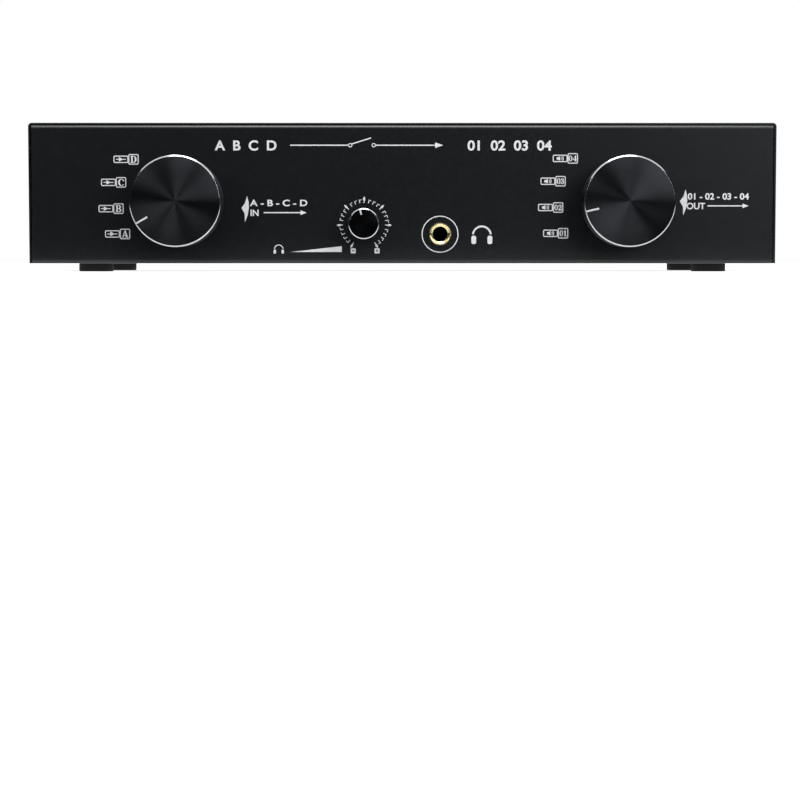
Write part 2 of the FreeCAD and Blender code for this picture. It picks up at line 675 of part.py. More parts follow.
def terminal_block(x):
    """The moulded block behind the rear wall that carries one red and one black post."""
    body = block(
        (x - BLOCK_WIDTH / 2, x + BLOCK_WIDTH / 2),
        (BLOCK_BACK, REAR_INSIDE),
        (BLACK_Z - BLOCK_MARGIN, RED_Z + BLOCK_MARGIN),
    )
    seat = BLOCK_BACK + BLOCK_SEAT
    for z in (RED_Z, BLACK_Z):
        body = body.cut(rod(STUD_RADIUS, x, z, seat, REAR_INSIDE + PAST))
        body = body.cut(rod(STUD_TAIL[0], x, z, BLOCK_BACK - PAST, seat + PAST))
    shank_radius, shank_length = BLOCK_SCREW[2:]
    shank = rod(shank_radius, x, BLOCK_SCREW_Z, REAR - shank_length, REAR_INSIDE + PAST)
    return body.cut(shank)


def post_sleeve(x, z):
    """A moulded sleeve that insulates a stud from the rear wall, with a wide collar and a narrow neck."""
    radius, length = COLLAR
    return turned(
        [
            (STUD_RADIUS, REAR_INSIDE),
            (radius, REAR_INSIDE),
            (radius, REAR + length - EDGE_CHAMFER),
            (radius - EDGE_CHAMFER, REAR + length),
            (NECK_RADIUS, REAR + length),
            (NECK_RADIUS, NECK_END),
            (STUD_RADIUS, NECK_END),
        ],
        x,
        z,
    )


def post_stud(x, z):
    """A binding post's metal stud, with its banana socket and a cross hole for bare wire."""
    seat = BLOCK_BACK + BLOCK_SEAT
    tail_radius, tail_length = STUD_TAIL
    socket_end = STUD_END - SOCKET_DEPTH
    chamfer = SOCKET_MOUTH - SOCKET_RADIUS
    stud = turned(
        [
            (0, seat - tail_length),
            (tail_radius, seat - tail_length),
            (tail_radius, seat),
            (STUD_RADIUS, seat),
            (STUD_RADIUS, STUD_END),
            (SOCKET_MOUTH, STUD_END),
            (SOCKET_RADIUS, STUD_END - chamfer),
            (SOCKET_RADIUS, socket_end),
            (0, socket_end - SOCKET_RADIUS * DRILL_TIP),
        ],
        x,
        z,
    )
    radius, distance = CROSS_HOLE
    return stud.cut(pillar(radius, x, REAR + distance, z - STUD_RADIUS - PAST, z + STUD_RADIUS + PAST))


def post_cap():
    """A binding post's fluted cap, at x = 0 and z = 0. Its flutes run out before the smooth rim."""
    rim_start = POST_FACE - CAP_RIM_START
    bore = STUD_RADIUS + CAP_CLEARANCE
    cap = turned(
        [
            (bore, POST_FACE),
            (CAP_FACE_RADIUS, POST_FACE),
            (CAP_GRIP_RADIUS, POST_FACE - CAP_TAPER),
            (CAP_GRIP_RADIUS, rim_start),
            (CAP_RIM_RADIUS, rim_start - EDGE_CHAMFER),
            (CAP_RIM_RADIUS, CAP_BACK + EDGE_CHAMFER),
            (CAP_RIM_RADIUS - EDGE_CHAMFER, CAP_BACK),
            (bore, CAP_BACK),
        ],
        0,
        0,
    )
    cutter_radius, circle, length = CAP_FLUTE
    for i in range(CAP_FLUTES):
        flute = rod(cutter_radius, circle, 0, POST_FACE - length, POST_FACE + PAST)
        cap = cap.cut(swung(flute, 0, 0, i * 360 / CAP_FLUTES))
    return cap


def post_nuts():
    """The nuts behind the terminal board, one on each stud."""
    across, thickness = POST_NUT
    return [
        hex_nut(across, thickness, STUD_TAIL[0], x, z, TERMINAL_BOARD_BACK - thickness)
        for x in COLUMN_X
        for z in (RED_Z, BLACK_Z)
    ]


def terminal_board():
    """The circuit board that joins the studs to the wires."""
    edge = COLUMN_X[-1] + TERMINAL_BOARD_MARGIN
    board = block(
        (-edge, edge),
        (TERMINAL_BOARD_BACK, BLOCK_BACK),
        (BLACK_Z - TERMINAL_BOARD_MARGIN, RED_Z + TERMINAL_BOARD_MARGIN),
    )
    holes = [
        rod(STUD_TAIL[0] + SCREW_CLEARANCE, x, z, TERMINAL_BOARD_BACK - PAST, BLOCK_BACK + PAST)
        for x in COLUMN_X
        for z in (RED_Z, BLACK_Z)
    ]
    return board.cut(holes)


def post_screws():
    """One screw between the two posts of each block."""
    screw = pan_screw(*BLOCK_SCREW)
    return [placed(screw, ALONG_Y, Vector(x, REAR, BLOCK_SCREW_Z)) for x in COLUMN_X]


def wiring():
    """Four wires from the last wafer of each switch to the terminal board."""
    start = FRONT_INSIDE + WAFER_STARTS[-1] + WAFER[2] + CONTACT[3]
    bend_start, bend_end = WIRE_BENDS
    wires = []
    for switch_x in SWITCH_X:
        for i, angle in enumerate(WIRE_ANGLES):
            x = switch_x + WIRE_CONTACT_RADIUS * math.cos(math.radians(angle))
            z = KNOB_Z + WIRE_CONTACT_RADIUS * math.sin(math.radians(angle))
            board_x = switch_x + ((len(WIRE_ANGLES) - PAST) / 2 - i) * WIRE_SPREAD
            points = [
                Vector(x, start, z),
                Vector(x, bend_start, z),
                Vector(board_x, bend_end, BLOCK_SCREW_Z),
                Vector(board_x, TERMINAL_BOARD_BACK, BLOCK_SCREW_Z),
            ]
            wires.append(bent_rod(points, WIRE_BEND_RADIUS, WIRE_RADIUS))
    return wires


def export(name, shapes):
    """Writes parts/NAME.step from one solid or from a list of separate solids."""
    shape = Part.makeCompound(shapes) if isinstance(shapes, list) else shapes
    bad = [s for s in shape.Solids if not s.isValid() or s.Volume <= 0]
    if bad or not shape.Solids:
        raise ValueError(f"{name} has a bad solid")
    shape.exportStep(f"parts/{name}.step")
    print(f"{name}: {len(shape.Solids)} solids, {sum(s.Volume for s in shape.Solids):.1f} mm3")


os.makedirs("parts", exist_ok=True)
export("base_tray", base_tray())
export("top_cover", top_cover())
export("case_screws", case_screws())
export("feet", feet())
export("switch_frames", [switch_frame(x) for x in SWITCH_X])
export(
    "switch_wafers",
    [switch_wafer(x, FRONT_INSIDE + start) for x in SWITCH_X for start in WAFER_STARTS],
)
export(
    "switch_contacts",
    [
        clip
        for x in SWITCH_X
        for start in WAFER_STARTS
        for clip in wafer_contacts(x, FRONT_INSIDE + start + WAFER[2])
    ],
)
export("switch_detents", [switch_detent(x) for x in SWITCH_X])
export("switch_tie_bolts", [piece for x in SWITCH_X for piece in tie_bolts_of(x)])
export("bushing_nuts", bushing_nuts())
export("volume_pot_body", volume_pot())
export("jack_body", jack_body())
export("jack_bushing", jack_bushing())
export("headphone_board", headphone_board())
export(
    "terminal_blocks",
    [terminal_block(x) for x in COLUMN_X]
    + [post_sleeve(x, z) for x in COLUMN_X for z in (RED_Z, BLACK_Z)],
)
export("post_studs", [post_stud(x, z) for x in COLUMN_X for z in (RED_Z, BLACK_Z)])
export("post_nuts", post_nuts())
export("post_screws", post_screws())
export("terminal_board", terminal_board())
export("wiring", wiring())
for name, x, pointer in (("amp", -KNOB_X, AMP_POINTER), ("speaker", KNOB_X, SPEAKER_POINTER)):
    export(f"{name}_knob", selector_knob(x, pointer))
    export(f"{name}_switch_shaft", switch_shaft(x))
    export(f"{name}_switch_rotor", switch_rotor(x))
export("volume_knob", volume_knob())
export("volume_shaft", volume_shaft())
CAP = post_cap()
for number, x in enumerate(COLUMN_X, 1):
    export(f"red_cap_{number:02d}", CAP.translated(Vector(x, 0, RED_Z)))
    export(f"black_cap_{number:02d}", CAP.translated(Vector(x, 0, BLACK_Z)))
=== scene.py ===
import math

import bmesh
import bpy
from mathutils import Matrix, Vector


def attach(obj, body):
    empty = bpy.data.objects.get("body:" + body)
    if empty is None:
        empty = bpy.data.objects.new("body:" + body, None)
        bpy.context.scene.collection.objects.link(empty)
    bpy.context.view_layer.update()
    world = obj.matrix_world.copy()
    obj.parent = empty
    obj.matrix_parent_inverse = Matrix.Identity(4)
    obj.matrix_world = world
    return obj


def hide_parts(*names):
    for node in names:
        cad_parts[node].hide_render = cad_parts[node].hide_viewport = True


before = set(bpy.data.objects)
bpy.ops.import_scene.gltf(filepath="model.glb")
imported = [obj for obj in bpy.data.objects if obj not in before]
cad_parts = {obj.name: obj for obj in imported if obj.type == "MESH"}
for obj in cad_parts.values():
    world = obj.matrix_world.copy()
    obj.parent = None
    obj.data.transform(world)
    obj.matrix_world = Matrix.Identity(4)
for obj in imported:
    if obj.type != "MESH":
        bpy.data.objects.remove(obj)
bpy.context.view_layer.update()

# The tray: floor, front wall, rear wall and two narrow flanges on top. It is one sheet of 1.2 mm
# steel, punched flat and folded on a press brake, then powder coated.
MM = 0.001
QUARTER_TURN = math.pi / 2
Y_WAY, Z_WAY = (0, 1, 0), (0, 0, 1)
FRONT, REAR = -67.5, 57.5
MIDDLE_Y = (FRONT + REAR) / 2
BASE, TRAY_TOP = 3.5, 62.5
TRAY_HALF_WIDTH = 158.6
TRAY_SHEET, TRAY_FOLD = 1.2, 1.6
FLANGE = 12.0
FOLD_FACETS = 7
SHEET_EDGE = 0.15
ROD_SIDES = 48
KNOB_X, KNOB_Z, SWITCH_HOLE = 95.5, 29.7, 4.5
VOLUME_X, VOLUME_Z, VOLUME_HOLE = -16.4, 20.3, 3.5
JACK_X, JACK_Z, JACK_WALL_HOLE = 16.1, 16.0, 4.4
COLUMN_PITCH = 18.5
COLUMN_X = [(i - 7.5) * COLUMN_PITCH for i in range(16)]
RED_Z, BLACK_Z = 48.5, 23.5
BLOCK_SCREW_Z, BLOCK_SCREW_HOLE = (RED_Z + BLACK_Z) / 2, 1.6
COLLAR_RADIUS = 6.8
FOOT_PLACES = [(x, MIDDLE_Y + y) for x in (-134.0, 134.0) for y in (-42.0, 42.0)]
COVER_SCREW_PLACES = [(-90.0, 49.5), (90.0, 49.5)]
TAPPED_HOLE = 1.5


def object_mode():
    """Leaves edit mode, if it is on."""
    if bpy.context.mode != "OBJECT":
        bpy.ops.object.mode_set(mode="OBJECT")


def alone(piece):
    """Makes this piece the only one selected, and the active one."""
    object_mode()
    bpy.ops.object.select_all(action="DESELECT")
    piece.select_set(True)
    bpy.context.view_layer.objects.active = piece


def begin(add, **settings):
    """Adds a primitive, its place and turn in its mesh, in edit mode and all selected."""
    object_mode()
    bpy.ops.object.select_all(action="DESELECT")
    add(**settings)
    bpy.ops.object.transform_apply(location=True, rotation=True, scale=True)
    bpy.ops.object.mode_set(mode="EDIT")
    return bpy.context.object


def choose(piece, kind, test):
    """Selects the edges or faces whose lowest and highest corners, in mm, pass the test."""
    bpy.ops.mesh.select_mode(type=kind)
    bpy.ops.mesh.select_all(action="DESELECT")
    cage = bmesh.from_edit_mesh(piece.data)
    for part in cage.edges if kind == "EDGE" else cage.faces:
        spans = list(zip(*(v.co / MM for v in part.verts)))
        if test(Vector([min(s) for s in spans]), Vector([max(s) for s in spans])):
            part.select_set(True)
    bmesh.update_edit_mesh(piece.data)


def near(a, b, slack=0.01):
    """True if two sizes in millimetres are the same."""
    return abs(a - b) < slack


def extrude(x=0.0, y=0.0, z=0.0):
    """Extrudes what is selected by a move in millimetres."""
    step = {"value": (x * MM, y * MM, z * MM)}
    bpy.ops.mesh.extrude_region_move(TRANSFORM_OT_translate=step)


def modify(piece, kind, **settings):
    """Gives the piece a modifier and applies it."""
    alone(piece)
    modifier = piece.modifiers.new(kind.title(), kind)
    for key, value in settings.items():
        setattr(modifier, key, value)
    bpy.ops.object.modifier_apply(modifier=modifier.name)


def cut(piece, cutter):
    """Cuts one piece away from another, and deletes it."""
    modify(piece, "BOOLEAN", object=cutter, operation="DIFFERENCE", solver="EXACT")
    bpy.data.objects.remove(cutter)


def drill(piece, holes):
    """Cuts round holes. Each is (radius, place of its middle, length, axis)."""
    rods = [
        dict(
            vertices=ROD_SIDES,
            radius=radius * MM,
            depth=length * MM,
            location=[c * MM for c in place],
            rotation=(QUARTER_TURN if axis == Y_WAY else 0, 0, 0),
        )
        for radius, place, length, axis in holes
    ]
    cutter = begin(bpy.ops.mesh.primitive_cylinder_add, **rods[0])
    for rod in rods[1:]:
        bpy.ops.mesh.primitive_cylinder_add(**rod)
    cut(piece, cutter)


def soften(piece, width, segments=2, angle=40.0):
    """Breaks the piece's sharp edges by a width in millimetres."""
    sharp = dict(limit_method="ANGLE", angle_limit=math.radians(angle), miter_outer="MITER_ARC")
    modify(piece, "BEVEL", width=width * MM, segments=segments, **sharp)


def settle(piece, material, name, body, slot, *nodes, smooth=32.0):
    """Gives a finished piece its material and name and fixes it to its body. It stands for the
    nodes named."""
    alone(piece)
    bpy.ops.object.shade_smooth_by_angle(angle=math.radians(smooth))
    if material:
        piece.data.materials.append(material)
    piece.name = piece.data.name = name
    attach(piece, body)
    if nodes:
        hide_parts(*nodes)


def linear(colour):
    """The linear red, green, blue and alpha of an sRGB hex colour."""
    channels = [int(colour[i : i + 2], 16) / 255 for i in (1, 3, 5)]
    return [c / 12.92 if c <= 0.04045 else ((c + 0.055) / 1.055) ** 2.4 for c in channels] + [1.0]


def add_node(tree, kind, links=None, feeds=None, **settings):
    """Adds a node. A setting is the value of an input, or else a property. Links join its inputs to
    other nodes' outputs, and its first output feeds the socket given."""
    node = tree.nodes.new(kind)
    for key, value in settings.items():
        socket = key.replace("_", " ").title()
        if socket in node.inputs:
            node.inputs[socket].default_value = value
        else:
            setattr(node, key, value)
    for key, source in (links or {}).items():
        tree.links.new(source, node.inputs[key])
    if feeds is not None:
        tree.links.new(node.outputs[0], feeds)
    return node


def texture(tree, dulling, relieving, rough, relief):
    """Lets one pattern set the roughness between two values and another, the relief."""
    shader = tree.nodes["Principled BSDF"].inputs
    dull = {"to_min": rough[0], "to_max": rough[1]}
    add_node(tree, "ShaderNodeMapRange", {"Value": dulling}, shader["Roughness"], **dull)
    bumps = {"distance": relief * MM, "strength": 1.0}
    add_node(tree, "ShaderNodeBump", {"Height": relieving}, shader["Normal"], **bumps)


def finish(name, low, high, grain, relief, rough, **values):
    """A material for one real finish. Its colour, its roughness and its relief drift together, at
    the grain's size in millimetres. The other values go on the shader's own sockets."""
    material = bpy.data.materials.new(name)
    material.use_nodes = True
    tree = material.node_tree
    shader = tree.nodes["Principled BSDF"].inputs
    for key, value in values.items():
        shader[key.replace("_", " ")].default_value = value
    place = {"Vector": add_node(tree, "ShaderNodeTexCoord").outputs["Object"]}
    noise = add_node(tree, "ShaderNodeTexNoise", place, scale=1 / (grain * MM), detail=3.0)
    pattern = noise.outputs["Fac"]
    tones = add_node(tree, "ShaderNodeValToRGB", {"Fac": pattern}, shader["Base Color"])
    for stop, position, tone in zip(tones.color_ramp.elements, (0.35, 0.65), (low, high)):
        stop.position, stop.color = position, linear(tone)
    texture(tree, pattern, pattern, rough, relief)
    return material


# Polyester powder coat on steel, sprayed and baked: satin black with the low, soft orange peel of a
# baked film. The peel is about 1 mm from crest to crest.
powder_coat = finish(
    "satin black powder coat", "#0D1013", "#111518", grain=1.0, relief=0.004, rough=(0.32, 0.4)
)


def blank(width, depth, middle):
    """A flat rectangle for a sheet, in millimetres, left in edit mode."""
    place = Vector(middle) * MM
    sheet = begin(bpy.ops.mesh.primitive_plane_add, size=MM, location=place)
    bpy.ops.transform.resize(value=(width, depth, 1), center_override=place)
    return sheet


def pressed(sheet, name, node, folds, radius, thickness, offset, holes):
    """Rounds the sheet's folds, gives it its thickness and holes, breaks its edges and coats it."""
    choose(sheet, "EDGE", folds)
    bpy.ops.mesh.bevel(offset=radius * MM, segments=FOLD_FACETS, affect="EDGES")
    modify(sheet, "SOLIDIFY", thickness=thickness * MM, offset=offset, use_even_offset=True)
    drill(sheet, holes)
    soften(sheet, SHEET_EDGE, segments=1, angle=60.0)
    settle(sheet, powder_coat, name, "case", "black_paint", node, smooth=20.0)
    modify(sheet, "WEIGHTED_NORMAL", keep_sharp=True)


tray = blank(2 * TRAY_HALF_WIDTH, REAR - FRONT, (0, MIDDLE_Y, BASE))
choose(tray, "EDGE", lambda low, high: near(low.y, high.y))
extrude(z=TRAY_TOP - BASE)
choose(tray, "EDGE", lambda low, high: near(high.y, FRONT) and near(low.z, TRAY_TOP))
extrude(y=FLANGE)
choose(tray, "EDGE", lambda low, high: near(low.y, REAR) and near(low.z, TRAY_TOP))
extrude(y=-FLANGE)
wall_cut = 4 * TRAY_SHEET
posts = [(COLLAR_RADIUS, (x, REAR, z)) for x in COLUMN_X for z in (RED_Z, BLACK_Z)]
screws = [(BLOCK_SCREW_HOLE, (x, REAR, BLOCK_SCREW_Z)) for x in COLUMN_X]
switches = [(SWITCH_HOLE, (side * KNOB_X, FRONT, KNOB_Z)) for side in (-1, 1)]
others = [(VOLUME_HOLE, (VOLUME_X, FRONT, VOLUME_Z)), (JACK_WALL_HOLE, (JACK_X, FRONT, JACK_Z))]
holes = [(*hole, wall_cut, Y_WAY) for hole in posts + screws + switches + others]
holes += [(TAPPED_HOLE, (x, y, BASE), wall_cut, Z_WAY) for x, y in FOOT_PLACES]
holes += [(TAPPED_HOLE, (x, y, TRAY_TOP), wall_cut, Z_WAY) for x, y in COVER_SCREW_PLACES]
pressed(
    tray, "tray", "base_tray",
    lambda low, high: (near(high.y, FRONT) or near(low.y, REAR)) and near(low.z, high.z),
    TRAY_FOLD, TRAY_SHEET, 1.0, holes,
)


# Four round feet of black rubber, each moulded in one piece with a broken lower edge and a sunk
# seat for the screw that holds it to the floor of the tray.
FOOT_RADIUS, FOOT_HOLE = 7.5, 1.6
FOOT_SEAT_RADIUS, FOOT_SEAT = 3.1, 2.2
FOOT_EDGE, FOOT_ROUND = 0.5, 0.3


def heal():
    """Merges doubles, turns all faces outwards and leaves edit mode."""
    bpy.ops.mesh.select_all(action="SELECT")
    bpy.ops.mesh.remove_doubles(threshold=MM / 1000)
    bpy.ops.mesh.normals_make_consistent(inside=False)
    object_mode()


def turned(axis, corners, centre=(0, 0, 0), steps=64):
    """A piece turned round an axis: a line through corners (radius, distance along the axis) is
    extruded corner by corner, then spun once round."""
    points = [
        (Vector(centre) + Vector((radius, 0, 0)) + Vector(axis) * distance) * MM
        for radius, distance in corners
    ]
    piece = begin(bpy.ops.mesh.primitive_plane_add, size=MM, location=points[0])
    bpy.ops.mesh.select_mode(type="VERT")
    bpy.ops.mesh.select_all(action="SELECT")
    bpy.ops.mesh.merge(type="CENTER")
    for start, end in zip(points, points[1:]):
        extrude(*((end - start) / MM))
    bpy.ops.mesh.select_all(action="SELECT")
    bpy.ops.mesh.spin(steps=steps, angle=math.tau, center=Vector(centre) * MM, axis=axis)
    heal()
    return piece


def copied(piece, move=(0, 0, 0)):
    """A copy with its own mesh, moved, in millimetres."""
    twin = piece.copy()
    twin.data = piece.data.copy()
    bpy.context.scene.collection.objects.link(twin)
    twin.data.transform(Matrix.Translation(Vector(move) * MM))
    return twin


def spread(model, material, slot, node, **places):
    """Fixes numbered copies to the case at the places for each name, and deletes the model."""
    for name, spots in places.items():
        digits = len(str(len(spots)))
        for number, spot in enumerate(spots, 1):
            settle(copied(model, spot), material, f"{name}_{number:0{digits}d}", "case", slot, node)
    bpy.data.objects.remove(model)


# Moulded natural rubber: matt charcoal black with a fine even grain from the mould.
rubber = finish(
    "moulded black rubber", "#121213", "#181819", grain=0.8, relief=0.01, rough=(0.7, 0.85)
)
foot = turned(Z_WAY, [
    (FOOT_HOLE, BASE), (FOOT_RADIUS - FOOT_ROUND, BASE), (FOOT_RADIUS, BASE - FOOT_ROUND),
    (FOOT_RADIUS, FOOT_EDGE), (FOOT_RADIUS - 0.15, FOOT_EDGE / 3), (FOOT_RADIUS - FOOT_EDGE, 0),
    (FOOT_SEAT_RADIUS + FOOT_ROUND, 0), (FOOT_SEAT_RADIUS, FOOT_ROUND),
    (FOOT_SEAT_RADIUS, FOOT_SEAT), (FOOT_HOLE, FOOT_SEAT), (FOOT_HOLE, BASE),
])
spread(foot, rubber, "foot_rubber", "feet", foot=[(x, y, 0) for x, y in FOOT_PLACES])


# Pan-head screws with a cross recess, of steel blackened in an oxide bath. One goes up through each
# foot into a tapped collar of the floor, two go down through the cover at the back.
COVER_TOP = 63.5
PAN_HEAD = ((0, 1), (0.45, 0.985), (0.72, 0.9), (0.9, 0.72), (0.98, 0.45), (1, 0.15), (0.98, 0))
CROSS_ARM, CROSS_WING, CROSS_DEPTH, CROSS_TAPER = 1.2, 0.24, 1.3, 0.55


def cuboid(middle, size):
    """A block by its middle and its three sizes, left in edit mode."""
    place = [c * MM for c in middle]
    return begin(bpy.ops.mesh.primitive_cube_add, size=MM, location=place, scale=size)


def pan_screw(head_radius, head_height, shank_radius, shank_length):
    """A screw that points down, the seat of its head at z = 0. Its dome and its cross have sizes in
    parts of the head's radius and height."""
    tip = shank_radius * 0.5
    screw = turned(Z_WAY, [(head_radius * r, head_height * h) for r, h in PAN_HEAD] + [
        (shank_radius, 0), (shank_radius, tip - shank_length),
        (shank_radius - tip, -shank_length), (0, -shank_length),
    ], steps=40)
    arm, wing = head_radius * CROSS_ARM, head_radius * CROSS_WING
    for width, depth in ((arm, wing), (wing, arm)):
        bar = cuboid((0, 0, head_height), (width, depth, head_height * CROSS_DEPTH))
        choose(bar, "FACE", lambda low, high: high.z < head_height)
        bpy.ops.transform.resize(value=(CROSS_TAPER, CROSS_TAPER, 1))
        cut(screw, bar)
    return screw


# Black oxide on steel: a thin conversion layer, dark and satin with a faint metal gloss.
black_oxide = finish(
    "black oxide steel", "#141416", "#1F2023", grain=0.6, relief=0.004, rough=(0.32, 0.45),
    Metallic=0.35,
)
case_screw = pan_screw(head_radius=2.7, head_height=1.8, shank_radius=1.5, shank_length=6.0)
foot_screw = copied(case_screw)
foot_screw.data.transform(Matrix.Rotation(math.pi, 4, "X"))
up = [(x, y, FOOT_SEAT) for x, y in FOOT_PLACES]
down = [(x, y, COVER_TOP) for x, y in COVER_SCREW_PLACES]
spread(foot_screw, black_oxide, "black_screw", "case_screws", foot_screw=up)
spread(case_screw, black_oxide, "black_screw", "case_screws", cover_screw=down)


# Two rotary switches behind the front wall. Each has a zinc-plated front plate and bushing, a steel
# shaft with a notched star, a sprung ball, two laminate wafers with brass clips, and rotor discs.
def coat(material, *names):
    """Gives CAD nodes their finish. Their meshes stay as they are."""
    for name in names:
        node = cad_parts[name]
        if not node.material_slots:
            node.data.materials.append(material)
        for slot in node.material_slots:
            slot.material = material


# Bright zinc plating, passivated: pale, slightly blue grey with a faint crystal bloom.
zinc_plate = finish(
    "bright zinc plate", "#9FA3A6", "#B9BDC0", grain=2.5, relief=0.002, rough=(0.28, 0.42),
    Metallic=1.0,
)
# Paper laminate bonded with phenolic resin: brown, with the fibres showing as small streaks.
paper_laminate = finish(
    "phenolic paper laminate", "#5B3A20", "#7A5230", grain=1.2, relief=0.006, rough=(0.45, 0.6)
)
# Hard-rolled contact brass, tarnished a little: yellow metal with duller patches.
contact_brass = finish(
    "rolled contact brass", "#B08D43", "#D0B067", grain=1.5, relief=0.002, rough=(0.25, 0.4),
    Metallic=1.0,
)
# Ground and drawn bright steel: light grey, with fine draw marks.
bright_steel = finish(
    "drawn bright steel", "#A6A8AB", "#BCBEC1", grain=0.9, relief=0.002, rough=(0.22, 0.34),
    Metallic=1.0,
)
# Moulded acetal: cream-white and faintly mottled.
acetal = finish(
    "moulded cream acetal", "#C9BF9F", "#D8D0B4", grain=3.0, relief=0.004, rough=(0.35, 0.5),
    IOR=1.48,
)
coat(zinc_plate, "switch_frames", "bushing_nuts")
coat(paper_laminate, "switch_wafers")
coat(contact_brass, "switch_contacts")
coat(bright_steel, "switch_detents", "switch_tie_bolts", "amp_switch_shaft", "speaker_switch_shaft")
coat(acetal, "amp_switch_rotor", "speaker_switch_rotor")


# The headphone volume control: a pressed and plated can with solder pins, behind the front wall,
# and a ground steel shaft that carries the small knob.

# Pressed nickel-plated brass: warm grey, softly polished.
pressed_can = finish(
    "pressed nickel can", "#8F8D88", "#A5A39D", grain=2.0, relief=0.003, rough=(0.3, 0.42),
    Metallic=1.0,
)
coat(pressed_can, "volume_pot_body")
coat(bright_steel, "volume_shaft")


# The headphone jack: a moulded body behind the wall, and a turned brass bushing, gold flashed.
# The bushing has a bright countersink round the hole, and a slot on each side for a pin wrench.
BUSHING_FACE, RING_FRONT = -69.7, -69.2
JACK_HOLE = 3.25
RING_WALL_RADIUS, RING_FRONT_RADIUS = 5.0, 4.5
JACK_CHAMFER = 1.0
SLOT_HEIGHT, SLOT_DEPTH, SLOT_SPARE = 1.0, 0.7, 0.6

# Glass-filled nylon, moulded: black and slightly rough.
black_nylon = finish(
    "moulded black nylon", "#101011", "#161617", grain=0.7, relief=0.006, rough=(0.5, 0.65)
)
# Gold flash over nickel on turned brass: pale yellow metal with a soft shine.
gold_flash = finish(
    "gold flash on brass", "#DED098", "#EFE5B8", grain=1.4, relief=0.001, rough=(0.2, 0.3),
    Metallic=1.0,
)
coat(black_nylon, "jack_body")
mouth = JACK_HOLE + JACK_CHAMFER
bushing = turned(Y_WAY, [
    (JACK_HOLE, FRONT + TRAY_SHEET), (JACK_WALL_HOLE, FRONT + TRAY_SHEET),
    (JACK_WALL_HOLE, FRONT), (RING_WALL_RADIUS - 0.15, FRONT), (RING_WALL_RADIUS, FRONT - 0.15),
    (RING_WALL_RADIUS - 0.04, FRONT - 0.5), (RING_FRONT_RADIUS + 0.12, RING_FRONT + 0.1),
    (RING_FRONT_RADIUS, RING_FRONT - 0.05), (mouth + 0.12, BUSHING_FACE + 0.04),
    (mouth, BUSHING_FACE), (mouth - 0.1, BUSHING_FACE + 0.04),
    (JACK_HOLE + 0.35, BUSHING_FACE + JACK_CHAMFER * 0.4),
    (JACK_HOLE, BUSHING_FACE + JACK_CHAMFER * 0.7), (JACK_HOLE, FRONT + TRAY_SHEET),
], (JACK_X, 0, JACK_Z), steps=96)
slot_size = (2 * (RING_WALL_RADIUS - JACK_HOLE) + SLOT_SPARE, 2 * SLOT_DEPTH, SLOT_HEIGHT)
for side in (-1, 1):
    cut(bushing, cuboid((JACK_X + side * RING_WALL_RADIUS, BUSHING_FACE, JACK_Z), slot_size))
soften(bushing, 0.05, angle=50.0)
settle(bushing, gold_flash, "jack_ring", "case", "gold_plate", "jack_bushing")


# The headphone board and the terminal board: laminate of woven glass and epoxy, clad with copper,
# routed to size and covered with a green mask.

# Solder mask over woven glass: deep green, glossy, with the weave faintly printed through.
green_board = finish(
    "green glass-epoxy board", "#0E3B22", "#16502F", grain=1.1, relief=0.004, rough=(0.25, 0.35)
)
coat(green_board, "headphone_board", "terminal_board")


# Sixteen moulded blocks behind the rear wall carry the posts, and a sleeve with a wide collar and a
# narrow neck insulates each post from the sheet. Both are black ABS, injection moulded.
BLOCK_WIDTH, BLOCK_DEPTH, BLOCK_MARGIN, BLOCK_CORNER = 17.0, 10.0, 8.5, 1.0
BLOCK_SEAT, SCREW_DEPTH, TAIL_BORE = 2.0, 8.0, 6.0
WALL_INSIDE = REAR - TRAY_SHEET
STUD_RADIUS, TAIL_RADIUS = 3.2, 2.5
COLLAR_END = REAR + 4.0
NECK_RADIUS, NECK_END, NECK_ROUND = 5.9, 72.2, 0.2

# Injection-moulded ABS from a satin tool: black with a very fine even texture.
black_abs = finish(
    "moulded black abs", "#0F0F10", "#151516", grain=0.7, relief=0.003, rough=(0.36, 0.46), IOR=1.52
)
block = cuboid(
    (0, WALL_INSIDE - BLOCK_DEPTH / 2, BLOCK_SCREW_Z),
    (BLOCK_WIDTH, BLOCK_DEPTH, RED_Z - BLACK_Z + 2 * BLOCK_MARGIN),
)
choose(block, "EDGE", lambda low, high: near(low.x, high.x) and near(low.z, high.z))
bpy.ops.mesh.bevel(offset=BLOCK_CORNER * MM, segments=3, affect="EDGES")
back, bore = WALL_INSIDE - BLOCK_DEPTH, 2 * (BLOCK_DEPTH - BLOCK_SEAT)
holes = [(TAPPED_HOLE, (0, REAR, BLOCK_SCREW_Z), 2 * SCREW_DEPTH, Y_WAY)]
holes += [(STUD_RADIUS, (0, WALL_INSIDE, z), bore, Y_WAY) for z in (RED_Z, BLACK_Z)]
drill(block, holes)
drill(block, [(TAIL_RADIUS, (0, back, z), TAIL_BORE, Y_WAY) for z in (RED_Z, BLACK_Z)])
soften(block, 0.2, angle=60.0)
columns = [(x, 0, 0) for x in COLUMN_X]
spread(block, black_abs, "block_plastic", "terminal_blocks", terminal_block=columns)

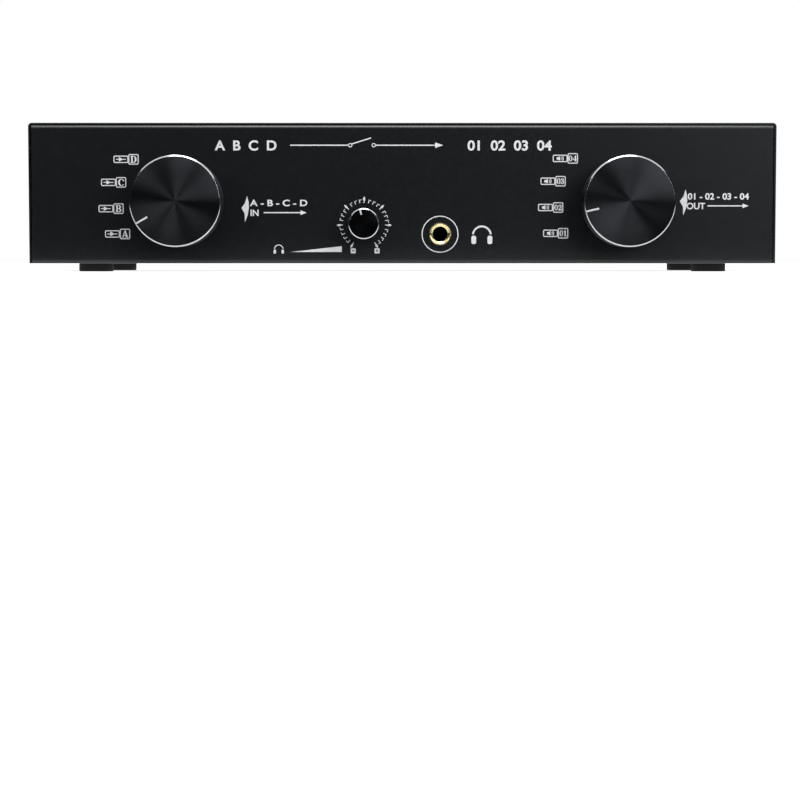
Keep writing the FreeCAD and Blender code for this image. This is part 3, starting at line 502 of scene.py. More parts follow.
sleeve = turned(Y_WAY, [
    (STUD_RADIUS, WALL_INSIDE), (COLLAR_RADIUS, WALL_INSIDE), (COLLAR_RADIUS, COLLAR_END - 0.4),
    (COLLAR_RADIUS - 0.12, COLLAR_END - 0.12), (COLLAR_RADIUS - 0.4, COLLAR_END),
    (NECK_RADIUS + NECK_ROUND, COLLAR_END), (NECK_RADIUS, COLLAR_END + NECK_ROUND),
    (NECK_RADIUS, NECK_END - NECK_ROUND), (NECK_RADIUS - NECK_ROUND, NECK_END),
    (STUD_RADIUS, NECK_END), (STUD_RADIUS, WALL_INSIDE),
])
RED_POSTS, BLACK_POSTS = ([(x, 0, z) for x in COLUMN_X] for z in (RED_Z, BLACK_Z))
sleeves = dict(red_sleeve=RED_POSTS, black_sleeve=BLACK_POSTS)
spread(sleeve, black_abs, "block_plastic", "terminal_blocks", **sleeves)


# Thirty-two studs of nickel-plated brass, turned from bar. Each has a socket for a banana plug,
# a cross hole for bare wire, a thread for its cap and a thinner tail that takes a nut.
STUD_END, TAIL_END, STUD_SEAT = 85.8, 39.5, 48.3
SOCKET_RADIUS, SOCKET_MOUTH, SOCKET_END = 2.05, 2.5, 67.8
CROSS_HOLE_RADIUS, CROSS_HOLE_Y = 1.3, 75.0
THREADS, THREAD_START, THREAD_PITCH, THREAD_DEPTH = 10, 77.2, 0.8, 0.22

# Satin nickel on turned brass: warm white metal with a soft, even shine.
nickel = finish(
    "satin nickel plate", "#D6D2C8", "#E4E0D6", grain=1.5, relief=0.001, rough=(0.4, 0.48),
    Metallic=1.0,
)
# Inside the socket, a dull dark brown metal takes the place of the nickel: painted shade of the
# deep bore.
socket_shade = finish(
    "painted socket shade", "#54483A", "#7A6B52", grain=0.8, relief=0.01, rough=(0.5, 0.65),
    Metallic=0.6,
)
thread = []
for turn in range(THREADS):
    crest = THREAD_START + turn * THREAD_PITCH
    thread += [(STUD_RADIUS, crest), (STUD_RADIUS - THREAD_DEPTH, crest + THREAD_PITCH / 2)]
stud = turned(Y_WAY, [
    (0, TAIL_END), (TAIL_RADIUS - 0.3, TAIL_END), (TAIL_RADIUS, TAIL_END + 0.3),
    (TAIL_RADIUS, STUD_SEAT), (STUD_RADIUS, STUD_SEAT), *thread,
    (STUD_RADIUS, THREAD_START + THREADS * THREAD_PITCH), (STUD_RADIUS, STUD_END - 0.36),
    (STUD_RADIUS - 0.07, STUD_END - 0.17), (STUD_RADIUS - 0.19, STUD_END - 0.04),
    (STUD_RADIUS - 0.34, STUD_END), (SOCKET_MOUTH + 0.17, STUD_END - 0.04),
    (SOCKET_MOUTH + 0.05, STUD_END - 0.15), (SOCKET_MOUTH, STUD_END - 0.3),
    (SOCKET_RADIUS, STUD_END - 0.7), (SOCKET_RADIUS, SOCKET_END),
    (0, SOCKET_END - SOCKET_RADIUS / 2),
], steps=48)
drill(stud, [(CROSS_HOLE_RADIUS, (0, CROSS_HOLE_Y, 0), 4 * STUD_RADIUS, Z_WAY)])
stud.data.materials.append(nickel)
stud.data.materials.append(socket_shade)
# Faces inside the socket take the dark lining, as painted shade of the bore.
for face in stud.data.polygons:
    radius = math.hypot(face.center.x, face.center.z) / MM
    if radius < SOCKET_MOUTH - 0.02 and SOCKET_END - 2 < face.center.y / MM < STUD_END - 0.05:
        face.material_index = 1
spread(stud, None, "nickel", "post_studs", red_stud=RED_POSTS, black_stud=BLACK_POSTS)
coat(bright_steel, "post_nuts")


# One screw between the two posts of each column holds its block to the rear wall. It is a smaller
# pan-head screw with the same oxide finish.
block_screw = pan_screw(head_radius=2.5, head_height=1.6, shank_radius=1.5, shank_length=8.0)
block_screw.data.transform(Matrix.Rotation(-QUARTER_TURN, 4, "X"))
places = [(x, REAR, BLOCK_SCREW_Z) for x in COLUMN_X]
spread(block_screw, black_oxide, "black_screw", "post_screws", block_screw=places)


# Thick wires from the switches to the terminal board: stranded copper in a sheath of soft red PVC,
# cut to length, stripped and soldered at both ends.

# Extruded soft PVC: red, semi-gloss, with a slight ripple along its skin.
red_jacket = finish(
    "red pvc wire jacket", "#8E1A18", "#A12220", grain=1.6, relief=0.01, rough=(0.4, 0.5)
)
coat(red_jacket, "wiring")


# Screen printing on the front wall: a film of white ink, pressed through a mesh onto the baked
# paint. It has the scale of the volume control, boxed letters and numbers, and plain drawn signs.
INK = 0.03
LINE = 0.4
CIRCLE_POINTS = 48

# White epoxy screen ink: slightly cool grey-white, matt, with small density changes from the mesh.
white_ink = finish(
    "white screen ink", "#E6E6EA", "#F2F2F5", grain=1.5, relief=0.002, rough=(0.5, 0.62)
)


def arc(x, z, radius, start, end, steps=12, squash=1.0):
    """Points along an arc in the panel's plane. Angles are in degrees from +X towards +Z."""
    angles = [math.radians(start + (end - start) * i / steps) for i in range(steps + 1)]
    return [(x + radius * math.cos(a), z + squash * radius * math.sin(a)) for a in angles]


def disc(x, z, radius):
    """A full circle as one loop."""
    last = CIRCLE_POINTS - 1
    return arc(x, z, radius, 0, 360 * last / CIRCLE_POINTS, last)


def ring(x, z, radius, line):
    """Two loops that leave a ring of the line's width inside the radius."""
    return [disc(x, z, r) for r in (radius, radius - line)]


def rounded(x, z, width, height, radius):
    """A rounded box as one loop, from its middle."""
    loop = []
    for quarter, (a, b) in enumerate(((1, 1), (-1, 1), (-1, -1), (1, -1))):
        corner = (x + a * (width / 2 - radius), z + b * (height / 2 - radius))
        loop += arc(*corner, radius, 90 * quarter, 90 * quarter + 90, 4)
    return loop


def box(x, z, width, height, radius=0.6, line=LINE):
    """Two loops that leave a rounded frame."""
    inner = rounded(x, z, width - 2 * line, height - 2 * line, max(radius - line, 0.1))
    return [rounded(x, z, width, height, radius), inner]


def stroke(points, line=LINE):
    """A loop round an open line of even width, with flat ends and mitred corners."""
    left, right = [], []
    for i, point in enumerate(points):
        here = Vector(point)
        run = [Vector(p) for p in points[max(i - 1, 0) : i + 2]]
        ways = [(b - a).normalized() for a, b in zip(run, run[1:])]
        way = sum(ways, Vector((0, 0))).normalized()
        reach = line / 2 / max(way.dot(ways[0]), 0.5)
        aside = Vector((-way.y, way.x)) * reach
        left.append(tuple(here + aside))
        right.append(tuple(here - aside))
    return left + right[::-1]


def crossed(x, z, half, thin, plus):
    """A loop for a plus sign, or for a minus sign."""
    corners = [(half, thin), (thin, thin), (thin, half)] if plus else [(half, thin)]
    loop = []
    for a, b in ((-1, -1), (1, -1), (1, 1), (-1, 1)):
        loop += [(x + a * p, z + b * q) for p, q in corners][:: a * b]
    return loop


def inked(piece, name, facing):
    """Makes a flat curve or text a mesh, stands it on its panel and fixes it there."""
    alone(piece)
    bpy.ops.object.convert(target="MESH")
    piece = bpy.context.object
    piece.data.transform(Matrix.Rotation(QUARTER_TURN, 4, "X"))
    if facing == REAR:
        piece.data.transform(Matrix.Rotation(math.pi, 4, "Z"))
    piece.data.transform(Matrix.Translation((0, facing * MM, 0)))
    bpy.ops.object.mode_set(mode="EDIT")
    heal()
    piece.data.materials.clear()
    settle(piece, white_ink, name, "case", "white_ink")


def printed(loops, name, facing=FRONT):
    """Ink on a panel, by loops as someone facing it sees them. A loop inside another is open."""
    drawing = bpy.data.curves.new(name, "CURVE")
    drawing.dimensions = "2D"
    drawing.fill_mode = "BOTH"
    drawing.extrude = INK * MM
    for loop in loops:
        line = drawing.splines.new("POLY")
        line.points.add(len(loop) - 1)
        for point, (x, z) in zip(line.points, loop):
            point.co = (x * MM, z * MM, 0, 1)
        line.use_cyclic_u = True
    piece = bpy.data.objects.new(name, drawing)
    bpy.context.scene.collection.objects.link(piece)
    inked(piece, name, facing)


# Bold figures with heavy stems, thin hairlines and flat feet, drawn 100 high. Each has a width, and
# loops of arcs and of corners, which are listed as x, z, x, z.
def path(*numbers):
    """The corners whose numbers stand in a row."""
    return list(zip(numbers[::2], numbers[1::2]))


FIGURES = {
    "0": (72, [arc(36, 50, 36, 0, 350, 35, 50 / 36), arc(36, 50, 14, 0, 350, 35, 3.0)]),
    "1": (66, [
        path(8, 0, 62, 0, 62, 7, 48, 7, 48, 100, 42, 100, 8, 86, 8, 79, 24, 81, 24, 7, 8, 7),
    ]),
    "2": (72, [
        arc(36, 70, 34, 190, -35, 20, 30 / 34)
        + path(28, 20, 52, 20, 60, 32, 70, 32, 66, 0, 2, 0, 2, 10, 38, 50)
        + arc(34, 70, 12, -20, 150, 10, 2.0) + path(28, 72) + arc(16, 72, 12, 0, -150, 8)
    ]),
    "3": (72, [
        arc(34, 74.5, 30, 175, -50, 16, 25.5 / 30) + arc(34, 27.5, 35, 50, -175, 18, 27.5 / 35)
        + arc(13, 25, 12, 180, 20, 6) + arc(32, 27, 13, -110, 80, 12, 1.6) + path(20, 50, 20, 57)
        + arc(30, 76, 12, -70, 110, 12, 1.5) + arc(15, 76, 11, 10, -170, 6)
    ]),
    "4": (84, [
        path(36, 0, 78, 0, 78, 7, 70, 7, 70, 24, 82, 24, 82, 34, 70, 34, 70, 100, 54, 100)
        + path(2, 34, 2, 24, 46, 24, 46, 7, 36, 7),
        path(46, 34, 13, 34, 46, 79),
    ]),
    "A": (96, [
        path(0, 0, 36, 0, 36, 7, 26, 7, 31, 24, 58, 24, 63, 7, 52, 7, 52, 0, 96, 0, 96, 7, 89, 7)
        + path(58, 100, 42, 100, 10, 7, 0, 7),
        path(33.5, 33, 55.5, 33, 44.5, 72),
    ]),
    "B": (84, [
        path(0, 0) + arc(50, 27, 34, -90, 60, 12, 27 / 34) + arc(48, 76, 30, -50, 90, 12, 0.8)
        + path(0, 100, 0, 93, 10, 93, 10, 7, 0, 7),
        path(34, 8) + arc(44, 27, 15, -90, 90, 8, 19 / 15) + path(34, 46),
        path(34, 56) + arc(43, 74, 13, -90, 90, 8, 18 / 13) + path(34, 92),
    ]),
    "C": (86, [
        arc(46, 50, 46, 35, 325, 28, 50 / 46) + path(72, 24)
        + arc(48, 50, 22, 300, 60, 20, 42 / 22) + path(76, 64, 84, 64)
    ]),
    "D": (88, [
        path(0, 0) + arc(42, 50, 46, -90, 90, 20, 50 / 46)
        + path(0, 100, 0, 93, 10, 93, 10, 7, 0, 7),
        path(34, 8) + arc(42, 50, 21, -90, 90, 16, 2.0) + path(34, 92),
    ]),
}


def figures(text, x, z, height, gap=0.0, stretch=1.0):
    """The loops of bold letters or digits in a row, centred on (x, z)."""
    tall = height / 100
    wide = tall * stretch
    place = x - (sum(FIGURES[c][0] for c in text) * wide + gap * (len(text) - 1)) / 2
    loops = []
    for character in text:
        width, outline = FIGURES[character]
        loops += [[(place + a * wide, z + (b - 50) * tall) for a, b in loop] for loop in outline]
        place += width * wide + gap
    return loops


def mirrored(lower, z, tip=()):
    """One outline from its lower half and its tip: the half is repeated above the height z."""
    return [lower + list(tip) + [(a, 2 * z - b) for a, b in reversed(lower)]]


def amplifier_sign(x, z, height):
    """A triangle that points right, with a lead at each end, in one outline."""
    half = height / 2
    back, lead, thin = x - half * 0.9, half * 2.1, height * 0.085
    tip = x + half - 1.9 * thin
    ends = [(x - lead, z + thin), (back, z + thin), (back, z + half), (tip, z + thin)]
    return mirrored(ends + [(x + lead, z + thin)], z)


def loudspeaker_sign(x, z, height):
    """A small box with a cone that opens to the right, and two sound waves."""
    half = height / 2
    x -= half * 0.5
    cone = [
        (x - half, z - half / 2), (x - half / 3, z - half / 2), (x + half / 2, z - half),
        (x + half / 2, z + half), (x - half / 3, z + half / 2), (x - half, z + half / 2),
    ]
    waves = [arc(x + half * 0.4, z, height * r, -42, 42, 6) for r in (0.45, 0.75)]
    return [cone] + [stroke(wave, height * 0.14) for wave in waves]


def headphone_sign(x, z, height):
    """A band over two ear cups."""
    band, cup = height * 0.45, height * 0.24
    loops = [stroke(arc(x, z - height * 0.05, band, 8, 172, 16), height * 0.09)]
    for side in (-1, 1):
        middle = x + side * (band - cup * 0.2)
        loops.append(rounded(middle, z - height * 0.27, cup, height * 0.42, cup * 0.4))
    return loops


def flare(tip_x, tip_z):
    """A curved arrowhead that points left."""
    top, bottom = (tip_x + 2.45, tip_z + 5.1), (tip_x + 1.5, tip_z - 6.1)
    back = [(tip_x + 3.1, tip_z + 2.4), (tip_x + 3.2, tip_z), (tip_x + 2.7, tip_z - 3.0)]
    front = [(tip_x + 1.35, tip_z - 2.4), (tip_x, tip_z), (tip_x + 1.5, tip_z + 2.0)]
    return [[top] + back + [bottom] + front]


def arrow(start, end, z, line=0.5, head=2.6, spread=1.0):
    """A line with a small solid head at its end, in one outline."""
    neck = end - head
    lower = [(start, z - line / 2), (neck, z - line / 2), (neck, z - spread)]
    return mirrored(lower, z, [(end, z)])


def lettered(text, x, z, height, name, facing=FRONT, width=None):
    """Plain bold sans capitals, centred on (x, z), and drawn out or in to a width."""
    bpy.ops.object.select_all(action="DESELECT")
    bpy.ops.object.text_add(location=(0, 0, 0))
    piece = bpy.context.object
    piece.data.body = text
    piece.data.size = height * MM / 0.72
    piece.data.extrude = INK * MM
    piece.data.offset = 0.035 * height * MM
    bpy.ops.object.convert(target="MESH")
    piece = bpy.context.object
    reach = [v.co.x for v in piece.data.vertices]
    middle = (min(reach) + max(reach)) / 2
    stretch = width * MM / (max(reach) - min(reach)) if width else 1.0
    piece.data.transform(Matrix.Translation((-middle, -height * MM / 2, 0)))
    piece.data.transform(Matrix.Diagonal((stretch, 1, 1, 1)))
    piece.data.transform(Matrix.Translation((x * MM, z * MM, 0)))
    inked(piece, name, facing)


# The four positions of each selector, by the right-hand end and the middle height of their labels.
LABEL_WIDTH, LABEL_HEIGHT = 4.4, 4.45
NAME_WIDTH, NAME_HEIGHT = 6.4, 3.1
AMP_LABELS = (("D", -112.7, 47.9), ("C", -118.1, 38.1), ("B", -119.3, 26.9), ("A", -116.6, 16.1))
SPEAKER_LABELS = (("04", 75.0, 48.3), ("03", 69.8, 38.6), ("02", 68.8, 27.4), ("01", 71.0, 16.4))
SIGN_HEIGHT, LETTER_HEIGHT = 2.0, 3.0
DIGITS = dict(height=2.5, gap=0.08, stretch=0.86)
loops = []
for labels, sign in ((AMP_LABELS, amplifier_sign), (SPEAKER_LABELS, loudspeaker_sign)):
    for text, right, z in labels:
        middle = right - LABEL_WIDTH / 2
        name_middle = right - LABEL_WIDTH - NAME_WIDTH / 2
        style = {"height": LETTER_HEIGHT} if len(text) == 1 else DIGITS
        loops += box(middle, z, LABEL_WIDTH, LABEL_HEIGHT)
        loops += box(name_middle, z, NAME_WIDTH - 0.1, NAME_HEIGHT)
        loops += sign(name_middle, z, SIGN_HEIGHT)
        loops += figures(text, middle, z, **style)
printed(loops, "position_labels")

# What each selector chooses from, beside it.
RANGE_HEIGHT = 2.7
IN_Z, OUT_Z = 25.2, 28.1
printed(flare(-68.9, 27.2) + flare(118.7, 30.1), "selector_arrows")
lettered("A - B - C - D", -53.0, 29.4, RANGE_HEIGHT, "amp_range_letters", width=24.6)
lettered("IN", -63.3, IN_Z, RANGE_HEIGHT, "amp_in_letters")
lettered("01 - 02 - 03 - 04", 135.2, 32.2, RANGE_HEIGHT, "speaker_range_digits", width=26.2)
lettered("OUT", 125.6, OUT_Z, RANGE_HEIGHT, "speaker_out_letters")
printed(arrow(-59.4, -41.0, IN_Z) + arrow(130.6, 148.2, OUT_Z), "selector_ways")

# The volume scale: 27 marks over 300 degrees, seven of them long and leaf-shaped, and a minus and a
# plus in boxes below its ends. A leaf is given as half widths at its distances from the axis.
LAST_MARK = 13
MARK_STEP = 300 / (2 * LAST_MARK)
LEAVES = (-13, -8, -4, 0, 4, 8, 13)
LEAF = ((9.0, 0.14), (9.9, 0.2), (10.5, 0.5), (11.0, 0.42), (11.8, 0.06))
MARK_INNER, MARK_OUTER, MARK_LINE = 9.1, 10.6, 0.32
HOOK_RADIUS, HOOK_START, HOOK_SWEEP = 10.45, 1.6, 3.6
END_SIGNS = ((-21.1, False), (-10.9, True))
END_Z, END_BOX, END_CORNER = 8.9, 2.2, 0.4
loops = []
middle = Vector((VOLUME_X, VOLUME_Z))
for mark in range(-LAST_MARK, LAST_MARK + 1):
    angle = 90 - mark * MARK_STEP
    way = Vector((math.cos(math.radians(angle)), math.sin(math.radians(angle))))
    if mark in LEAVES:
        aside = Vector((-way.y, way.x))
        left = [tuple(middle + way * r + aside * w) for r, w in LEAF]
        loops.append(left + [tuple(middle + way * r - aside * w) for r, w in reversed(LEAF)])
    else:
        ends = [tuple(middle + way * r) for r in (MARK_INNER, MARK_OUTER)]
        start = angle - HOOK_START
        hook = arc(VOLUME_X, VOLUME_Z, HOOK_RADIUS, start, start - HOOK_SWEEP, 4)
        loops += [stroke(ends, MARK_LINE), stroke(hook, MARK_LINE)]
for x, plus in END_SIGNS:
    loops.append(rounded(x, END_Z, END_BOX, END_BOX, END_CORNER))
    loops.append(crossed(x, END_Z, 0.62, 0.16, plus))
printed(loops, "volume_scale")
wedge = [(-48.0, 8.4), (-26.0, 8.4), (-26.0, 10.9)]
printed(headphone_sign(-53.0, 9.7, 4.2) + [wedge], "volume_signs")
printed(ring(JACK_X, JACK_Z, 7.9, 0.42) + headphone_sign(34.0, 15.9, 8.6), "jack_signs")

# A wiring diagram in one line: four inputs, a switch, and four outputs.
DIAGRAM_Z, DIAGRAM_HEIGHT, DIAGRAM_LINE = 53.9, 4.2, 0.5
TERMINALS = (-22.3, -12.3)
lettered("A  B  C  D", -67.0, DIAGRAM_Z, DIAGRAM_HEIGHT, "diagram_inputs", width=26.4)
lettered("01  02  03  04", 45.8, DIAGRAM_Z, DIAGRAM_HEIGHT, "diagram_outputs", width=36.0)
loops = [loop for x in TERMINALS for loop in ring(x, DIAGRAM_Z, 0.9, 0.35)]
for line in ([(-48.0, DIAGRAM_Z), (-23.3, DIAGRAM_Z)], [(-21.5, 54.5), (-13.4, 57.0)]):
    loops.append(stroke(line, DIAGRAM_LINE))
printed(loops + arrow(-11.3, 17.4, DIAGRAM_Z, head=3.4, spread=1.2), "diagram_lines")


# Screen printing on the rear wall: a frame of thin lines round each pair of columns, with the
# letter or number of its position, and boxed signs for the left and right channels.
PAIR_PITCH = 2 * COLUMN_PITCH
PAIR_LINE, DIVIDER_LINE, FORK_LINE = 0.65, 0.85, 0.62
GROUPS = ("04", "03", "02", "01", "D", "C", "B", "A")
BADGE_Z, BADGE_RADIUS, BADGE_LINE = 35.9, 3.9, 0.65
WING_GAP, WING_LENGTH, WING_LINE = 0.03, 2.6, 0.6
BADGE_LETTER, BADGE_DIGIT, BADGE_GAP = 4.6, 3.5, 0.12
ROW_Z, ROW_HEIGHT, ROW_CORNER, ROW_LINE = 10.2, 3.7, 0.7, 0.48
RIGHT_BOX, WORD_BOX, LEFT_BOX = (-13.7, 4.0), (0.1, 21.8), (14.0, 4.0)
LINKS, LINK = (-11.25, 11.5), (0.86, 1.6, 0.3)
ROW_SIGNS, ROW_SIGN, ROW_LETTER, ROW_GAP = (-7.5, 7.7), 1.9, 2.2, 2.03
END_SHIFT = 1.6
FORK_TOP, FORK_RADIUS = 16.6, 2.1
EDGE_X = 151.0
EDGE_RUNS = ((56.7, 50.43), (45.97, 26.03))
EDGE_TAIL = 21.57
CHANNEL_SIGNS = ((48.2, True), (23.8, False))
DIVIDER_TOP, DIVIDER_END = 41.7, 30.2


def fork(x, left, right):
    """One outline: a divider's lower end that parts into two bends, which run to the rows."""
    half, centre = FORK_LINE / 2, ROW_Z + FORK_RADIUS
    outer, inner = FORK_RADIUS + half, FORK_RADIUS - half
    meet = math.degrees(math.acos(FORK_RADIUS / outer))
    start = x - FORK_RADIUS
    below = [(left, ROW_Z - half)] + arc(start, centre, outer, 270, 360 - meet, 10)
    above = [(left, ROW_Z + half)] + arc(start, centre, inner, 270, 360, 10)
    above += [(x - DIVIDER_LINE / 2, centre + 0.3), (x - DIVIDER_LINE / 2, FORK_TOP)]
    other = [[(2 * x - a, b) for a, b in side] for side in (below, above)]
    other[0][0], other[1][0] = (right, ROW_Z - half), (right, ROW_Z + half)
    return below + other[0][-2::-1] + other[1] + above[::-1]


loops, badge_loops, row_ends = [], [], []
for place, text in enumerate(GROUPS):
    middle = (place - 3.5) * PAIR_PITCH
    centre = middle + {0: -END_SHIFT, 7: END_SHIFT}.get(place, 0.0)
    output = len(text) == 2
    for side in (-1, 1):
        inner = middle + side * (BADGE_RADIUS + WING_GAP)
        wing = [(inner, BADGE_Z), (inner + side * WING_LENGTH, BADGE_Z)]
        badge_loops.append(stroke(wing, WING_LINE))
    if output:
        badge_loops += ring(middle, BADGE_Z, BADGE_RADIUS, BADGE_LINE)
        badge_loops += figures(text, middle, BADGE_Z, BADGE_DIGIT, BADGE_GAP)
    else:
        badge_loops.append(disc(middle, BADGE_Z, BADGE_RADIUS))
        badge_loops += figures(text, middle, BADGE_Z, BADGE_LETTER)
    for (offset, width), word, name in (
        (RIGHT_BOX, "R", "right_sign"),
        (WORD_BOX, "OUT" if output else "IN", "way_sign"),
        (LEFT_BOX, "L", "left_sign"),
    ):
        loops += box(centre + offset, ROW_Z, width, ROW_HEIGHT, ROW_CORNER, ROW_LINE)
        lettered(word, centre + offset, ROW_Z, ROW_LETTER, f"{name}_{place + 1}", REAR)
    loops += [rounded(centre + link, ROW_Z, *LINK) for link in LINKS]
    for spot in ROW_SIGNS:
        sign = loudspeaker_sign if output else amplifier_sign
        loops += sign(centre + WORD_BOX[0] + spot, ROW_Z, ROW_SIGN)
    row_ends += [centre + RIGHT_BOX[0] - ROW_GAP, centre + LEFT_BOX[0] + ROW_GAP]
printed(badge_loops, "position_badges", REAR)
for side, end in ((-1, row_ends[0]), (1, row_ends[-1])):
    x = side * EDGE_X
    for top, low in EDGE_RUNS:
        loops.append(stroke([(x, top), (x, low)], PAIR_LINE))
    turns = (0, -90) if side > 0 else (180, 270)
    tail = arc(x - side * FORK_RADIUS, ROW_Z + FORK_RADIUS, FORK_RADIUS, *turns, 10)
    loops.append(stroke([(x, EDGE_TAIL)] + tail + [(end, ROW_Z)], PAIR_LINE))
    for z, plus in CHANNEL_SIGNS:
        loops += ring(x, z, 2.2, 0.42)
        loops.append(crossed(x, z, 1.15, 0.26, plus))
for i in range(1, 8):
    x = (i - 4) * PAIR_PITCH
    loops.append(stroke([(x, DIVIDER_TOP), (x, DIVIDER_END)], DIVIDER_LINE))
    loops.append(fork(x, row_ends[2 * i - 1], row_ends[2 * i]))
printed(loops, "rear_lines", REAR)


# The two selector knobs: solid aluminium, turned, anodised black, and then cut once more with a
# diamond tool, which leaves the bright ring. The pointer is a milled groove with white paint in it.
KNOB_RADIUS, KNOB_CHAMFER = 19.25, 0.55
KNOB_FACE, KNOB_BACK = -86.0, -69.0
RECESS_RADIUS, RECESS_FLOOR = 10.0, -77.0
SHAFT_RADIUS, SHAFT_END = 3.0, -83.0
KNOB_GROOVE = dict(start=13.4, width=0.8, depth=0.3, paint=0.26, short=0.25)
FIT = 0.02


def spun(name, tone, x, z, spacing, depth, rough, anisotropy):
    """Turned metal: rings of the tool's feed, a gloss drawn out across them, and faint rays."""
    gloss = {"Anisotropic": anisotropy, "Anisotropic_Rotation": 0.25}
    material = finish(name, tone, tone, 2.0, 0.0, rough, Metallic=1.0, **gloss)
    tree = material.node_tree
    place = {"Vector": add_node(tree, "ShaderNodeTexCoord").outputs["Object"]}
    axis = dict(location=(-x * MM, 0, -z * MM), scale=(1, 0, 1))
    centred = {"Vector": add_node(tree, "ShaderNodeMapping", place, **axis).outputs["Vector"]}
    outward = add_node(tree, "ShaderNodeVectorMath", centred, operation="NORMALIZE").outputs[0]
    rays = add_node(tree, "ShaderNodeTexNoise", {"Vector": outward}, scale=9.0, detail=4.0)
    rings = dict(wave_type="RINGS", rings_direction="SPHERICAL")
    pitch = math.tau / 20 / (spacing * MM)
    waves = add_node(tree, "ShaderNodeTexWave", centred, scale=pitch, **rings)
    texture(tree, rays.outputs["Fac"], waves.outputs["Fac"], rough, depth)
    tangent = tree.nodes["Principled BSDF"].inputs["Tangent"]
    add_node(tree, "ShaderNodeTangent", None, tangent, direction_type="RADIAL", axis="Y")
    return material


# Diamond-cut aluminium: bare and mirror-bright, because the tool burnishes as it cuts.
diamond_cut = finish(
    "diamond-cut aluminium", "#C4C5C8", "#D6D7DA", grain=1.2, relief=0.0005, rough=(0.14, 0.2),
    Metallic=1.0,
)
# Air-drying enamel wiped into the groove: white and slightly uneven.
groove_paint = finish(
    "white groove enamel", "#D5D6D8", "#E6E7E9", grain=0.8, relief=0.01, rough=(0.4, 0.55)
)


def bar_along(x, z, angle, inner, outer, low_y, high_y, width):
    """A bar that lies along a radius of the axis through (x, z)."""
    middle = (x + (inner + outer) / 2, (low_y + high_y) / 2, z)
    bar = cuboid(middle, (outer - inner, high_y - low_y, width))
    object_mode()
    centre = Matrix.Translation((x * MM, 0, z * MM))
    bar.data.transform(centre @ Matrix.Rotation(-math.radians(angle), 4, "Y") @ centre.inverted())
    return bar


def mark_knob(knob, x, z, angle, face, rim, groove, breaks, metal, body, names):
    """Mills the groove of a turned knob, paints it, and brightens the chamfer between the two radii
    of the rim. The names are the knob's, its CAD node's and the painted line's."""
    start, width, depth, paint, short = groove.values()
    floor = face + depth
    cut(knob, bar_along(x, z, angle, start, rim[1] + 1, face - 1, floor, width))
    soften(knob, breaks[0], angle=30.0)
    knob.data.materials.append(metal)
    knob.data.materials.append(diamond_cut)
    for side in knob.data.polygons:
        radius = math.hypot(side.center.x / MM - x, side.center.z / MM - z)
        if rim[0] < radius < rim[1] and -0.95 < side.normal.y < -0.3:
            side.material_index = 1
    settle(knob, None, names[0], body, "black_anodised", names[1])
    line = bar_along(
        x, z, angle, start + FIT, rim[1] - short, floor - paint, floor, width - 2 * FIT
    )
    soften(line, breaks[1])
    settle(line, groove_paint, names[2], body, "black_anodised")


for name, x, angle in (("amp", -KNOB_X, 210.0), ("speaker", KNOB_X, 193.5)):
    # Black dyed anodising over turned aluminium. The rings are 0.8 mm apart, coarser than real.
    black_anodised = spun(
        f"black anodised {name} knob", "#414347", x, KNOB_Z, 0.8, 0.001, (0.36, 0.48), 0.95
    )
    knob = turned(Y_WAY, [
        (0, KNOB_FACE), (6.0, KNOB_FACE), (12.0, KNOB_FACE),
        (KNOB_RADIUS - KNOB_CHAMFER, KNOB_FACE), (KNOB_RADIUS, KNOB_FACE + KNOB_CHAMFER),
        (KNOB_RADIUS, KNOB_BACK - 0.4), (KNOB_RADIUS - 0.4, KNOB_BACK),
        (RECESS_RADIUS, KNOB_BACK), (RECESS_RADIUS, RECESS_FLOOR), (SHAFT_RADIUS, RECESS_FLOOR),
        (SHAFT_RADIUS, SHAFT_END), (0, SHAFT_END),
    ], (x, 0, KNOB_Z), steps=128)
    mark_knob(
        knob, x, KNOB_Z, angle, KNOB_FACE, (KNOB_RADIUS - KNOB_CHAMFER, KNOB_RADIUS), KNOB_GROOVE,
        (0.06, 0.05), black_anodised, f"{name}_selector",
        (f"{name}_selector_knob", f"{name}_knob", f"{name}_pointer"),
    )


# The volume knob: a small turned knob of the same make, anodised black, with a thin bright-cut rim
# and a painted groove. It is pressed onto the shaft of the volume control.
SMALL_RADIUS, SMALL_CHAMFER, SMALL_ROUND = 6.5, 0.4, 0.2
SMALL_FACE, SMALL_BACK = -81.1, -69.8
BUSHING_ROOM, ROOM_END = 4.0, -73.0
SMALL_END = SMALL_FACE + 1.8
SMALL_ANGLE = 105.0
SMALL_GROOVE = dict(start=3.8, width=0.7, depth=0.25, paint=0.22, short=0.15)

# The same dyed anodising on a face turned finer, its colour made darker as painted shade. Rings 0.6
# mm apart.
shaded_small_anodising = spun(
    "black anodised volume knob", "#1C1D1F", VOLUME_X, VOLUME_Z, 0.6, 0.001, (0.34, 0.42), 0.6
)
small_knob = turned(Y_WAY, [
    (0, SMALL_FACE), (3.0, SMALL_FACE), (SMALL_RADIUS - SMALL_CHAMFER, SMALL_FACE),
    (SMALL_RADIUS, SMALL_FACE + SMALL_CHAMFER), (SMALL_RADIUS, SMALL_BACK - SMALL_ROUND),
    (SMALL_RADIUS - SMALL_ROUND, SMALL_BACK), (BUSHING_ROOM, SMALL_BACK),
    (BUSHING_ROOM, ROOM_END), (SHAFT_RADIUS, ROOM_END), (SHAFT_RADIUS, SMALL_END), (0, SMALL_END),
], (VOLUME_X, 0, VOLUME_Z), steps=96)
mark_knob(
    small_knob, VOLUME_X, VOLUME_Z, SMALL_ANGLE, SMALL_FACE,
    (SMALL_RADIUS - SMALL_CHAMFER, SMALL_RADIUS), SMALL_GROOVE, (0.04, 0.04), shaded_small_anodising,
    "volume_control", ("headphone_volume_knob", "volume_knob", "volume_pointer"),
)


